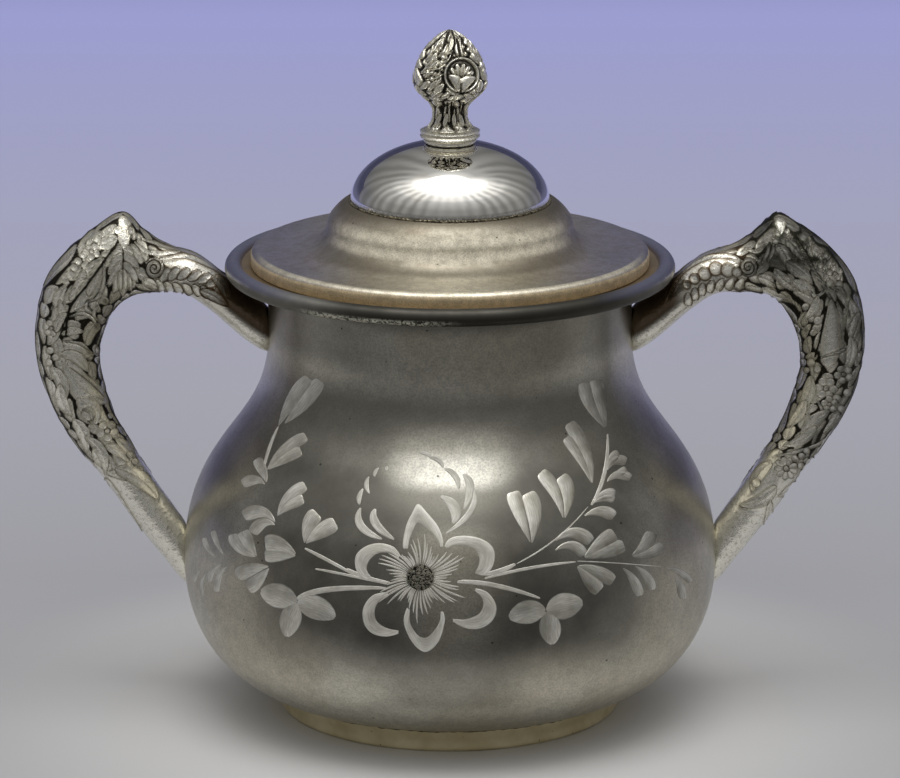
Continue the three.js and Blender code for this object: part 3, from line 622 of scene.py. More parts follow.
# The casting's stations, as in the CAD: the x and z of its outer and its inner edge, out from the bead and up
# from the bead's underside, then half its breadth
HANDLE_STATIONS = np.reshape((
    -21.6, -14.2, -21.6, -24.4, 4.6,  -9.6, -7.3, -6.4, -16.7, 4.6,  0, -0.5, 3.9, -8, 4.8,
    5.9, 4.1, 9.1, -4.6, 5.4,  14.9, 7.2, 15.1, -3.6, 6.2,  19.2, 10.4, 18.4, -3.8, 6.8,
    23.2, 13.9, 21.6, -4.6, 7.2,  28.7, 11, 25, -7, 7.4,  35.6, 5.4, 27.5, -11, 7.4,
    40.8, -1.8, 28.8, -14.5, 7,  43.3, -14.2, 29.6, -20.2, 6.6,  41.9, -25.2, 28.6, -26.2, 6.4,
    37.1, -36.2, 25.6, -34.9, 6,  28.9, -48, 19.4, -45.2, 5.5,  21.2, -59.4, 13.5, -54, 5,
    14.9, -67.6, 9.2, -59.8, 4.8,  8.9, -74.6, 2.9, -65.7, 4.8,  -5.6, -80.2, -7.6, -69.2, 4.8,
), (-1, 5))
HANDLE_ROWS, HANDLE_COLUMNS, RAIL_PLACES = 560, 168, 900
HANDLE_BITE = 0.7  # how far its ends go into the body's wall
SOLDER_FLARE, SOLDER_REACH = 0.55, 0.8
RELIEF_DEPTH = 0.75
PLAIN_TOP, PLAIN_SOCKET, OUTER_FROM = (37, 43), (30, 38), (44, 52)
# how high the painted shade on the arm's inner side by the body begins
PAINTED_SHADE_FROM_Z = 80


def handle_rail(edge, at):
    """The CAD's curve: each span is a cubic whose end slopes weigh the neighbouring chords by the fourth root
    of the squared distance between the stations. edge is the column of its x."""
    x, z, breadth = HANDLE_STATIONS[:, (edge, edge + 1, 4)].T
    (p0, p1, p2, p3), t = spans(np.stack([RIM_R + x, breadth, BEAD_Z - BEAD_R + z], -1), at)
    gap0, gap1, gap2 = (np.sqrt(np.linalg.norm(q - p, axis=1))[:, None]
                        for p, q in ((p0, p1), (p1, p2), (p2, p3)))
    slope1 = ((p1 - p0) / gap0 - (p2 - p0) / (gap0 + gap1) + (p2 - p1) / gap1) * gap1
    slope2 = ((p2 - p1) / gap1 - (p3 - p1) / (gap1 + gap2) + (p3 - p2) / gap2) * gap1
    square, cube = 3 * (p2 - p1) - 2 * slope1 - slope2, 2 * (p1 - p2) + slope1 + slope2
    return p1 + t * (slope1 + t * (square + t * cube))


def handle_skin():
    """The right handle's smooth skin as a grid: round each station of the two rails goes an ellipse, and
    every lengthwise line is cut off inside the body's wall. Returns it with the distance along it."""
    at = np.linspace(0, len(HANDLE_STATIONS) - 1, RAIL_PLACES)
    outer, inner = handle_rail(0, at), handle_rail(2, at)
    turn = turns(HANDLE_COLUMNS)
    middle, across = (outer + inner) / 2, (outer - inner) / 2
    raw = middle[:, None] * (1, 0, 1) + across[:, None] * np.cos(turn)[:, None]
    raw[..., 1] = outer[:, 1:2] * np.sin(turn)
    buried = body_radius(raw[..., 2]) - np.hypot(raw[..., 0], raw[..., 1]) > HANDLE_BITE
    buried &= raw[..., 2] < NECK_TOP_Z
    half = RAIL_PLACES // 2
    first = half - np.argmax(buried[:half][::-1], 0)
    last = half + np.argmax(buried[half:], 0)
    along = travelled(middle)
    distance = along[first] + np.linspace(0, 1, HANDLE_ROWS)[:, None] * (along[last] - along[first])
    row = np.interp(distance, along, np.arange(RAIL_PLACES))
    low = np.clip(np.floor(row).astype(int), 0, RAIL_PLACES - 2)
    blend = (row - low)[..., None]
    column = np.arange(HANDLE_COLUMNS)
    return raw[low, column] * (1 - blend) + raw[low + 1, column] * blend, distance


def outward(skin):
    """Unit normals of a grid whose columns go round: the cross product of its two tangents."""
    normal = np.cross(np.roll(skin, -1, 1) - np.roll(skin, 1, 1), np.gradient(skin, axis=0))
    return normal / np.maximum(np.linalg.norm(normal, axis=-1, keepdims=True), 1e-9)


def half_turn(points):
    """Points turned half round about the bowl's axis."""
    return points * (-1.0, -1.0, 1.0)


def left_front(relief):
    """The casting's one side, as the left handle shows it."""
    leaves, beads, ridges, groove = relief.leaves, relief.beads, relief.ridges, relief.groove
    # blossoms and berries over the shoulder
    leaves((117, 237, 96, 247, 13, 0.1, 3), (102, 232, 80, 258, 11, -0.12))
    relief.blossom(92, 252, 8.5, 5, 0.4)
    beads((84, 256, 3.2), (79, 262, 3.6), (75, 268, 3.4), (71, 275, 3.8), (67, 283, 3.2), (86, 266, 4),
          (64, 290, 3), (98, 240, 3.4), (90, 243, 2.8))
    leaves((86, 285, 104, 258, 12, 0.1, 2), (70, 300, 84, 268, 11, -0.1, 3), (58, 312, 68, 284, 10, 0.12, 2),
           (50, 345, 56, 305, 12, -0.08, 3))
    relief.blossom(52, 328, 8, 6, 0.2)
    beads((51, 350, 3.6), (56, 357, 3.4), (50, 362, 3.2))
    # the long leaf beside the groove
    leaves((70, 312, 105, 258, 17, -0.06, 5), taper=(0.7, 0.6))
    leaves((88, 296, 104, 264, 9, 0.05))
    ridges((3.2, 0.9, 104, 258, 104, 280, 98, 296, 86, 302))
    # small curls below it
    beads((104, 300, 4.2))
    beads((104, 300, 1.8), top=0.4)
    ridges((3, 1, 88, 300, 86, 308, 92, 313), (3, 1, 97, 306, 93, 314, 98, 321),
           (3.4, 0.9, 70, 316, 82, 313, 92, 318, 96, 327))
    leaves((64, 320, 60, 300, 7, 0, 2), (56, 332, 68, 312, 8, 0.1))
    # pointed leaves and the big smooth leaf
    leaves((62, 334, 84, 331, 8, 0.1, 2))
    leaves((64, 338, 93, 354, 16, -0.16), taper=(0.55, 0.7))
    ridges((2.4, 0.9, 66, 341, 80, 343, 90, 352))
    leaves((62, 352, 88, 372, 13, 0.12))
    leaves((66, 360, 108, 402, 25, -0.14, 3), taper=(0.6, 0.55))
    groove(1.0, 0.7, 70, 367, 86, 380, 104, 398)
    leaves((52, 366, 66, 402, 12, 0.1, 4), (60, 384, 72, 416, 11, -0.1, 3))
    # the five-petalled blossom among its leaves
    leaves((78, 398, 96, 424, 18, 0.12, 2), taper=(0.5, 0.6))
    beads((88, 414, 6.5))
    ridges((2.2, 0.8, 83, 409, 90, 413, 92, 421))
    leaves((74, 418, 88, 452, 12, 0.1, 4))
    relief.blossom(106.5, 431, 10.5, 5, 0.25)
    beads((115, 418, 3.6), (109, 416, 3), (121, 428, 3.2))
    leaves((96, 440, 112, 470, 12, -0.12, 2), (104, 446, 128, 462, 11, 0.14, 2),
           (86, 436, 106, 474, 10, 0.16, 3), (114, 438, 134, 466, 9, 0.1))
    beads((129, 455, 3.2), (134, 462, 3.2), (139, 470, 3.2), (145, 477, 3.2))
    leaves((108, 472, 126, 480, 7, 0.1))
    # the last leaf, which laps over the plain socket
    leaves((116, 468, 158, 500, 15, 0.1), taper=(0.5, 0.7), top=0.95)
    leaves((106, 478, 142, 530, 11, -0.05, 6), taper=(0.5, 0.8))
    # the peak, its collar and the acanthus that hangs from it
    groove(1.5, 0.9, 121.5, 238, 104, 262, 88, 284, 70, 309, 66, 336)
    leaves((136, 240, 146, 262, 8, 0.1))
    leaves((123, 246, 112, 262, 8), (122.5, 254, 108, 274, 9), (122, 262, 108, 286, 9),
           (122, 270, 113, 293, 9), (124, 246, 133, 258, 8), (124, 254, 139, 268, 9),
           (123.5, 262, 138, 281, 9), (123, 270, 131, 290, 9), (123, 268, 122, 296, 10), midrib=0.2)
    groove(0.9, 0.6, 123.5, 242, 123, 262, 122, 288)
    leaves((124, 222, 124, 250, 13), taper=(0.4, 0.8), midrib=0)
    beads((118, 231, 3.6), (125, 222, 6), (130, 232, 3.4))
    # volute, gadroons and leaf tips along the arm
    relief.lobes(9, 13, 7.5, 38, 152, 283, 175, 287, 200, 290, 219, 296)
    relief.lobes(6, 15, 8.5, -42, 165, 275, 180, 274, 198, 277, 213, 283)
    leaves((142, 280, 158, 288, 9, 0.1))
    relief.scroll(154, 267.8, 9.3, 1)
    ridges((4, 0.95, 134, 243, 148, 253, 172, 254, 186, 250), (3.6, 0.9, 140, 240, 160, 246, 186, 252),
           (5, 1, 160, 260, 185, 257, 205, 264, 222, 274), (4.2, 0.95, 180, 250, 205, 258, 226, 272))
    leaves((212, 276, 227, 298, 11, 0.12), taper=(0.5, 0.5))
    leaves((200, 290, 228, 306, 9, 0.06, 4))


def right_front(relief):
    """The casting's other side, as the right handle shows it."""
    leaves, beads, ridges, groove = relief.leaves, relief.beads, relief.ridges, relief.groove
    # small flowers over the shoulder
    leaves((796, 236, 812, 248, 9, 0.1, 3), (812, 246, 832, 262, 10, -0.1, 3),
           (808, 262, 826, 280, 9, 0.1, 3), (826, 270, 840, 292, 10, -0.1, 3),
           (836, 290, 850, 312, 10, 0.1, 3), (850, 300, 858, 330, 9, 0, 3))
    relief.blossom(824, 262, 8, 5, 0.3)
    relief.blossom(834, 274, 7.5, 5, 0.8)
    beads((803, 238, 5), (825, 256, 3), (820, 266, 3), (838, 285, 3.6), (829, 283, 3.4))
    ridges((2.6, 1, 831, 288, 840, 289, 846, 297))
    leaves((852, 350, 858, 312, 11, 0.05, 7), (840, 352, 846, 312, 10, 0.1, 6),
           (838, 340, 836, 300, 8, -0.05, 5))
    # leaves inside the long vein
    leaves((786, 240, 804, 262, 12, 0.08, 4), (776, 244, 790, 272, 12, 0.1, 4),
           (786, 262, 812, 284, 13, 0.06, 6), (774, 268, 800, 290, 11, -0.06, 5),
           (792, 280, 816, 296, 10, 0.05, 4), (768, 256, 756, 274, 9, 0.1, 2))
    ridges((3.4, 1, 768, 262, 773, 252, 774, 244), (3, 1, 762, 264, 768, 252, 770, 244))
    beads((779, 233, 4.2), (776, 241, 3.4), (786, 232, 3))
    leaves((779, 217, 782, 236, 10), taper=(0.4, 0.9), midrib=0)
    groove(1.2, 0.85, 794, 236, 812, 266, 826, 292, 834, 304)
    ridges((2.2, 0.9, 796, 240, 813, 269, 827, 293, 835, 306), (3.4, 1, 808, 291, 816, 296, 825, 290))
    beads((806, 306, 3.6), (812, 318, 3.4), (818, 320, 4), (814, 332, 3.2))
    leaves((818, 296, 806, 318, 9, 0.1))
    ridges((3, 1, 805, 312, 800, 322, 807, 330))
    # the pale flat leaf
    leaves((831, 298, 828, 366, 19, 0.03), taper=(0.75, 0.35), top=0.95, midrib=0)
    groove(1.1, 0.9, 826, 306, 820, 340, 816, 356)
    ridges((2.8, 1, 861, 312, 854, 336, 842, 350, 822, 357))
    leaves((850, 336, 844, 372, 10, 0.1, 5))
    # blossoms down the bend
    beads((812, 362, 4), (818, 369, 3.4), (808, 370, 3))
    relief.blossom(843, 374, 9, 5, 0.5)
    relief.blossom(826, 388, 11, 6, 0.1)
    beads((836, 398, 4.2))
    relief.blossom(829, 404, 8, 5, 0.9)
    beads((846, 392, 4), (840, 408, 3.4))
    leaves((812, 376, 798, 412, 12, 0.1), (806, 400, 788, 428, 10, 0.08))
    ridges((2.6, 1, 818, 400, 822, 412, 818, 424))
    leaves((838, 412, 822, 432, 10, 0.1, 4), (828, 410, 800, 442, 12, -0.08, 2))
    leaves((816, 426, 784, 446, 10, 0.1), taper=(0.6, 0.9))
    ridges((3.2, 1, 838, 420, 822, 440, 800, 450, 778, 456))
    leaves((832, 428, 812, 456, 9, 0.1, 4))
    # the chrysanthemum
    relief.blossom(786, 468, 11, 9, 0.3)
    beads((795, 458, 3.2), (801, 455, 3.2), (806, 460, 3.2), (800, 465, 3.2), (806, 450, 3.2))
    leaves((812, 456, 792, 486, 12, 0.1, 5), (798, 480, 778, 496, 8, 0.06, 3), (772, 462, 752, 492, 12, -0.1))
    beads((757, 483, 4.2))
    leaves((776, 486, 740, 506, 12, 0.12), taper=(0.5, 0.7), top=0.95)
    leaves((786, 496, 760, 534, 10, 0.08, 6), (770, 500, 763, 528, 6, 0.05, 4))
    # volute, round gadroons and the strips along the arm
    relief.scroll(748.5, 267, 8.6, -1)
    beads((705, 274, 6.2), (716, 269, 6.4), (728, 270, 6.6), (737, 272, 4.6), (695, 279, 4.8),
          (687, 285, 3.8))
    relief.lobes(7, 12, 7.5, -50, 740, 283, 720, 284, 702, 289, 688, 299)
    ridges((4.2, 1, 672, 292, 684, 272, 706, 259, 730, 257, 743, 262),
           (3.6, 0.95, 662, 304, 674, 280, 694, 260, 714, 252, 740, 246),
           (4, 0.8, 746, 250, 758, 252, 766, 246))
    leaves((758, 276, 776, 286, 10, 0.1, 3), (762, 286, 790, 298, 9, -0.1, 4))


def handle_casting():
    """The right handle in place: its skin pressed in along its normals where the ornament is low, and flared
    by a fillet of solder at both ends. Each side's ornament is read through the camera where that side faces
    it, so the other side is turned half round first."""
    skin, distance = handle_skin()
    turn = np.broadcast_to(turns(HANDLE_COLUMNS), distance.shape)
    worked = smooth(distance, *PLAIN_TOP) * smooth(distance.max() - distance, *PLAIN_SOCKET)
    ground = 0.93 * (1 - worked) + worked * foliage(distance, turn, 5.2, 12, 3)
    front, back = Relief(skin, ground), Relief(half_turn(skin), ground)
    right_front(front)
    left_front(back)
    facing = smooth(-skin[..., 1], -0.8, 0.8)
    carved = front.height * facing + back.height * (1 - facing)
    edge_on = smooth(np.abs(np.sin(turn)), 0.12, 0.42)
    height = np.clip(ground * (1 - edge_on) + carved * edge_on, 0, 1.05)
    gap = np.hypot(skin[..., 0], skin[..., 1]) - body_radius(skin[..., 2])
    flare = SOLDER_FLARE * np.exp(-np.clip(gap + 0.2, 0, 20) / SOLDER_REACH) * (skin[..., 2] < NECK_TOP_Z)
    points = skin + outward(skin) * (flare - RELIEF_DEPTH * (1 - height))[..., None]
    ends = [np.broadcast_to(ring.mean(0), ring.shape)[None] for ring in (points[0], points[-1])]
    values = {
        "relief": height,
        # painted shade: the arm's inner side near the body, high up under the rim
        "stain": smooth(13 - gap, -1, 4) * (skin[..., 2] > PAINTED_SHADE_FROM_Z) * smooth(np.cos(turn), -0.35, 0.0),
        "outer": smooth(np.cos(turn), -0.15, 0.35) * smooth(distance, *OUTER_FROM),
    }
    return (np.concatenate([ends[0], points, ends[1]]),
            {key: np.pad(numbers, ((1, 1), (0, 0)), "edge") for key, numbers in values.items()})


# Finial

FINIAL_ROWS, FINIAL_COLUMNS = 230, 260
FINIAL_DEPTH, RING_PITCH, RINGS_END = 0.62, 1.35, (3.6, 4.6)
STEM_R, BUD_R, BUD_Z, STEM_MIDDLE = 4.15, 8.7, 14.4, 453


def finial_outline():
    """The finial's outline up from its foot, as in the CAD, as (r, height) with even spacing."""
    foot = [(0, 0), (5.4, 0), (5.8, 0.35), (6.75, 1.5), (6.9, 1.8)]
    stem = bezier((6.9, 3), (STEM_R, 4.5), (STEM_R, 5.8), (STEM_R, 7.3), 20)
    swell = bezier((STEM_R, 7.3), (STEM_R, 10.5), (BUD_R, 11.2), (BUD_R, BUD_Z), 40)
    crown = bezier((BUD_R, BUD_Z), (BUD_R, 20.35), (3.2, FINIAL_HEIGHT), (0, FINIAL_HEIGHT), 60)
    outline = np.vstack([foot, stem, swell[1:], crown[1:]])
    length = travelled(outline)
    even = np.linspace(0, length[-1], FINIAL_ROWS)
    return np.stack([np.interp(even, length, outline[:, k]) for k in (0, 1)], -1)


def finial_front(relief):
    """The bud as the photograph shows it: a flower in a ring, a two-lobed leaf over it and leaves round."""
    leaves, beads, groove = relief.leaves, relief.beads, relief.groove
    leaves((437, 40, 424, 62, 9, 0.1, 3), (444, 38, 434, 56, 9, -0.08, 2), (436, 52, 419, 74, 9, 0.12, 3),
           (440, 60, 424, 82, 8, -0.08), (446, 54, 438, 72, 8, 0.05, 2), (432, 76, 418, 90, 9, 0.1),
           (440, 72, 426, 92, 9, 0.1, 3), (444, 84, 430, 98, 8, 0, 2), (474, 42, 484, 64, 8, -0.1, 3),
           (470, 38, 480, 56, 7, 0, 2), (482, 60, 487, 80, 7, 0.1, 3), (480, 78, 478, 94, 8, 0.1, 2),
           (450, 94, 440, 100, 6), (464, 96, 474, 98, 6), (452, 36, 448, 52, 6, 0.1))
    relief.ridges((2.6, 1, 428, 70, 440, 68, 448, 60, 452, 52), (2.4, 0.95, 424, 80, 436, 78, 446, 72))
    beads((431, 79, 2.6), (443, 57, 3), (446, 66, 2.4), (440, 48, 2.4))
    leaves((459, 58, 455, 35, 9, -0.12), (463, 58, 461, 36, 9, 0.16), taper=(0.4, 0.8))
    groove(1.1, 0.8, 461, 58, 459, 46, 457, 38)
    away, _ = relief.around(462, 75)
    relief.lay(19 - away, 0.5 + 0.5 * np.cos((away - 17) * 1.05), moat=0.85)
    relief.lay(14.5 - away, 0.3, moat=0.5)
    tips = (451, 68), (457, 64), (464, 63.5), (470, 66), (474, 71)
    leaves(*[(462.5, 82, x, y, 5.5) for x, y in tips], taper=(0.8, 0.35), midrib=0.25)
    leaves((461, 93, 449, 75, 12, -0.16), (461, 93, 476, 77, 12, 0.16), taper=(0.55, 0.55), midrib=0)
    groove(0.9, 0.8, 461, 93, 461.5, 84)
    # stem: upright grooves and the tips of small leaves
    for x in (443.5, 447.5, 451.5, 456, 460, 463.5):
        groove(0.9, 0.75, x, 104, x + (x - STEM_MIDDLE) * 0.25, 122)
    beads((457, 106, 3.4), top=0.8)
    low_tips = (441, 447, 454, 460, 466)
    leaves(*[(x, 114, x + (x - STEM_MIDDLE) * 0.55, 126, 5.5) for x in low_tips], taper=(0.5, 0.4))


def finial_bud():
    """The finial's surface of revolution, pressed in along its normals where the ornament is low. The
    photograph's side is read through the camera, and the far side repeats it half round."""
    outline = finial_outline()
    skin = revolved(outline + (0, FINIAL_Z), FINIAL_COLUMNS)
    angle, up, length = np.broadcast_arrays(turns(FINIAL_COLUMNS), outline[:, 1:],
                                            np.linspace(0, 46, FINIAL_ROWS)[:, None])
    worked = smooth(up, *RINGS_END)
    rings = 0.8 + 0.2 * np.cos(2 * math.pi * (up - 0.4) / RING_PITCH)
    ground = rings * (1 - worked) + worked * foliage(length, angle, 4.2, 10, 5)
    relief = Relief(np.where(skin[..., 1:2] > 0, half_turn(skin), skin), ground)
    finial_front(relief)
    carved = smooth(np.abs(np.sin(angle)), 0.0, 0.3) * worked
    height = np.clip(ground * (1 - carved) + relief.height * carved, 0, 1.05)
    tangent = np.gradient(outline, axis=0)
    tangent /= np.linalg.norm(tangent, axis=1)[:, None]
    press = FINIAL_DEPTH * (1 - height) * smooth(up, 0.2, 0.8) * smooth(FINIAL_HEIGHT - up, 0, 0.5)
    r = np.hypot(skin[..., 0], skin[..., 1]) - press * tangent[:, 1:]
    points = np.stack([r * np.cos(angle), r * np.sin(angle), skin[..., 2] + press * tangent[:, :1]], -1)
    points[0], points[-1] = (0, 0, FINIAL_Z), (0, 0, FINIAL_Z + FINIAL_HEIGHT)
    return shell("leafy_finial", points, poles=(True, True), values={"relief": height})


# Finishes

def tone(colour, share=1.0):
    """A colour as a screen shows it, 0 to 255, as the light that it stands for, or a share of that."""
    level = np.array(colour) / 255
    light = share * np.where(level <= 0.04045, level / 12.92, ((level + 0.055) / 1.055) ** 2.4)
    return (*map(float, light), 1.0)


def maths(operation, reflected=False):
    """A method that adds a Math node for two numbers."""
    def act(self, other):
        values = (other, self) if reflected else (self, other)
        return self.shader.node("Math", {"operation": operation}, dict(enumerate(values)))
    return act


def maths_of_one(operation):
    """A method that adds a Math node for one number."""
    return lambda self: self.shader.node("Math", {"operation": operation}, {0: self})


class Number:
    """A number that varies over a surface. Arithmetic on it adds Math nodes."""
    __add__, __radd__ = maths("ADD"), maths("ADD", True)
    __sub__, __rsub__ = maths("SUBTRACT"), maths("SUBTRACT", True)
    __mul__, __rmul__ = maths("MULTIPLY"), maths("MULTIPLY", True)
    most, turn_of = maths("MAXIMUM"), maths("ARCTAN2")
    __abs__, root, sine = maths_of_one("ABSOLUTE"), maths_of_one("SQRT"), maths_of_one("SINE")

    def __init__(self, shader, socket):
        self.shader, self.socket = shader, socket

    def climb(self, low, high, start=0.0, end=1.0):
        """From start at low to end at high, with level ends."""
        limits = {"From Min": low, "From Max": high, "To Min": start, "To Max": end}
        return self.shader.node("MapRange", {"interpolation_type": "SMOOTHSTEP"}, {"Value": self} | limits)

    def fall(self, low, high):
        return self.climb(low, high, 1, 0)

    def band(self, low, full, fading, gone):
        return self.climb(low, full) * self.fall(fading, gone)


class Shader:
    """The nodes of a material or a world, with one method that adds any of them."""

    def __init__(self, tree):
        self.tree = tree

    def node(self, kind, settings=None, inputs=None, output=0):
        made = self.tree.nodes.new("ShaderNode" + kind)
        for key, value in (settings or {}).items():
            if key == "stops":
                self.set_stops(made.color_ramp.elements, value)
            else:
                setattr(made, key, value)
        for key, value in (inputs or {}).items():
            self.feed(made.inputs[key], value)
        return Number(self, made.outputs[output])

    def set_stops(self, elements, stops):
        while len(elements) < len(stops):
            elements.new(1)
        for stop, (position, colour) in zip(list(elements), stops):
            stop.position, stop.color = position, colour

    def feed(self, socket, value):
        if isinstance(value, Number):
            self.tree.links.new(value.socket, socket)
        else:
            socket.default_value = value

    @cached_property
    def here(self):
        return self.node("TexCoord", output="Object")

    def parts(self, vector):
        return [Number(self, out) for out in self.node("SeparateXYZ", None, {0: vector}).socket.node.outputs]

    def axes(self):
        """x, y and z of the surface in millimetres."""
        return self.parts(self.stretched(self.here, (1 / METRES,) * 3))

    def stretched(self, vector, scale):
        return self.node("VectorMath", {"operation": "MULTIPLY"}, {0: vector, 1: scale})

    def noise(self, size, detail=3.0, rough=0.55, vector=None):
        """Clouds whose lumps are about size millimetres across."""
        return self.node("TexNoise", None, {"Vector": vector or self.here, "Scale": 1 / (size * METRES),
                                            "Detail": detail, "Roughness": rough})

    def specks(self, spacing, small, large, patch, patchy):
        """Dots scattered about spacing millimetres apart, in patches."""
        scattered = {"Vector": self.here, "Scale": 1 / (spacing * METRES)}
        dots = self.node("TexVoronoi", {"feature": "F1"}, scattered).fall(small, large)
        return dots * self.noise(patch, 1).climb(patchy, 0.56)

    def kept(self, name):
        """A number that the mesh keeps at its points."""
        return self.node("Attribute", {"attribute_name": name}, output="Fac")

    def mix(self, factor, a, b):
        return self.node("Mix", {"data_type": "RGBA"}, {0: factor, 6: a, 7: b}, output=2)

    def bump(self, height, distance, over=None):
        inputs = {"Height": height, "Distance": distance * METRES}
        return self.node("Bump", None, inputs | ({"Normal": over} if over else {}))


class Finish(Shader):
    """A material: constants set on its surface, a colour laid up in coats, and what else varies over it."""

    def __init__(self, name, colour=(0, 0, 0), **constants):
        self.material = bpy.data.materials.new(name)
        self.material.use_nodes = True
        super().__init__(self.material.node_tree)
        self.surface = self.tree.nodes["Principled BSDF"]
        self.colour = tone(colour)
        self.set(**constants)

    def set(self, **values):
        for key, value in values.items():
            self.feed(self.surface.inputs[key.replace("_", " ")], value)

    def coat(self, factor, colour, share=1.0):
        self.colour = self.mix(factor, self.colour, tone(colour, share))

    def done(self, **varying):
        self.set(Base_Color=self.colour, **varying)
        return self.material


def frosted_plate(name):
    """The body: fine grain, clouds of tarnish and a few dark specks, with painted shade on the front half: a
    belt round the belly, the waist, under the rim, the neck's sides, by the handles, below the highlight and
    in the middle low down; and a painted highlight high on the belly, in the middle of its front and back."""
    dark = (190, 186, 173)
    finish = Finish(name, (220, 216, 202), Metallic=1.0)
    x, y, z = finish.axes()
    aside = abs(x)
    clouds = finish.noise(16, 4, 0.6).climb(0.35, 0.68)
    finish.coat(clouds * 0.55, dark)
    finish.coat(finish.noise(30, 2, 0.5).climb(0.4, 0.65) * 0.5, (206, 196, 174))
    off_middle = aside.climb(6, 18)
    in_front = (0 - y).climb(-18, 8)
    # painted shade: a darker belt round the front of the belly, higher off the middle
    belt = z.climb(16, 34) * (off_middle * z.climb(66, 80, 1, 0.1) + (1 - off_middle) * z.fall(58, 67))
    belt = belt * aside.climb(2, 15, 0.3, 1) * aside.climb(36, 51, 1, 0.16) * in_front
    finish.coat(belt * finish.noise(9, 3).climb(0.3, 0.7, 0.8, 1) * 0.85, dark, 0.14)
    # painted shade at the waist, under the rim, on the neck's sides, low in the middle, below the highlight
    # and by the handles, on the front half
    waist = z.climb(73.5, 80) * (1 - off_middle) + z.climb(68, 77) * off_middle
    waist = waist * z.fall(81, 88.5) * aside.fall(30, 47) * finish.noise(12, 3).climb(0.3, 0.6, 0.62, 0.7)
    front_painted_shade = waist.most(z.climb(96.5, 101.5) * 0.75)
    front_painted_shade = front_painted_shade.most(z.climb(86, 92) * aside.climb(12, 26) * 0.5)
    front_painted_shade = front_painted_shade.most(aside.fall(8, 22) * z.band(13, 18, 29, 36) * 0.5)
    front_painted_shade = front_painted_shade.most(aside.fall(26, 42) * z.band(55, 60, 65, 69) * 0.68)
    front_painted_shade = front_painted_shade.most(aside.climb(46, 51) * z.band(40, 47, 60, 67) * 0.36)
    finish.coat(front_painted_shade * in_front, dark, 0.22)
    # painted highlight: a pale band high on the belly, in the middle of the front and back
    finish.coat(aside.fall(4, 16) * z.band(64, 67.5, 70.5, 73.5) * 0.85, (255, 252, 238))
    grain = finish.noise(0.42, 2, 0.7)
    finish.coat(finish.noise(2.6, 4, 0.65).climb(0.36, 0.68) * 0.24, dark, 0.4)
    finish.coat(grain.climb(0.42, 0.62) * 0.3, dark, 0.3)
    finish.coat(finish.specks(4.2, 0.05, 0.085, 9, 0.5) * 0.75, (40, 36, 30))
    return finish.done(Roughness=clouds * 0.05 + finish.noise(1.1, 3) * 0.08 + 0.28,
                       Normal=finish.bump(grain + finish.noise(0.9, 2) * 0.8, 0.012))


def engraved_plate(name, metallic, shading, outline):
    """Bright cuts: clean silver with the fine lines that the graver left along each stroke, and painted shade
    across each cut.
    """
    finish = Finish(name, (204, 201, 189), Metallic=metallic)
    stroke = finish.node("UVMap", {"uv_map": "strokes"})
    across, _, _ = finish.parts(stroke)
    lines = finish.noise(1, 3, 0.6, finish.stretched(stroke, (6 * METRES, 0.35 * METRES, 1)))
    finish.coat(lines.climb(0.3, 0.7), (252, 250, 242))
    finish.coat(finish.noise(6, 2).climb(0.3, 0.75) * 0.2, (200, 188, 160))
    # painted shade: each cut darker towards one side by the share shading, plus clouds of darker tone at
    # random
    shade = across.climb(-1.3, 1.3) * shading + finish.noise(4, 2).climb(0.35, 0.7) * 0.25
    finish.coat(shade, (122, 118, 104))
    finish.coat(finish.kept("edge").climb(0.76, 0.96) * outline, (58, 55, 47))
    return finish.done(Roughness=lines * 0.2 + 0.34, Normal=finish.bump(lines, 0.03))


def mirror_plate(name):
    """Polished silver plate: a few hair scratches, a film of tarnish in clouds and by its foot, and painted
    shade on its far side.
    """
    finish = Finish(name, (238, 236, 229), Metallic=1.0)
    _, y, z = finish.axes()
    by_foot = z.fall(120, 121.4) * finish.noise(0.6, 3).climb(0.35, 0.6, 0.6, 1)
    film = finish.noise(14, 3).climb(0.4, 0.75)
    finish.coat(film * 0.35, (222, 214, 200))
    finish.coat(by_foot * 0.7, (70, 62, 50))
    # painted shade: the far half darker
    finish.coat(y.climb(-6, 6) * 0.6, (132, 124, 96))
    scratches = finish.noise(1, 2, 0.5, finish.stretched(finish.here, (0.25, 2.4, 1.2)))
    return finish.done(Roughness=film * 0.03 + by_foot * 0.35 + 0.035, Normal=finish.bump(scratches, 0.0006))


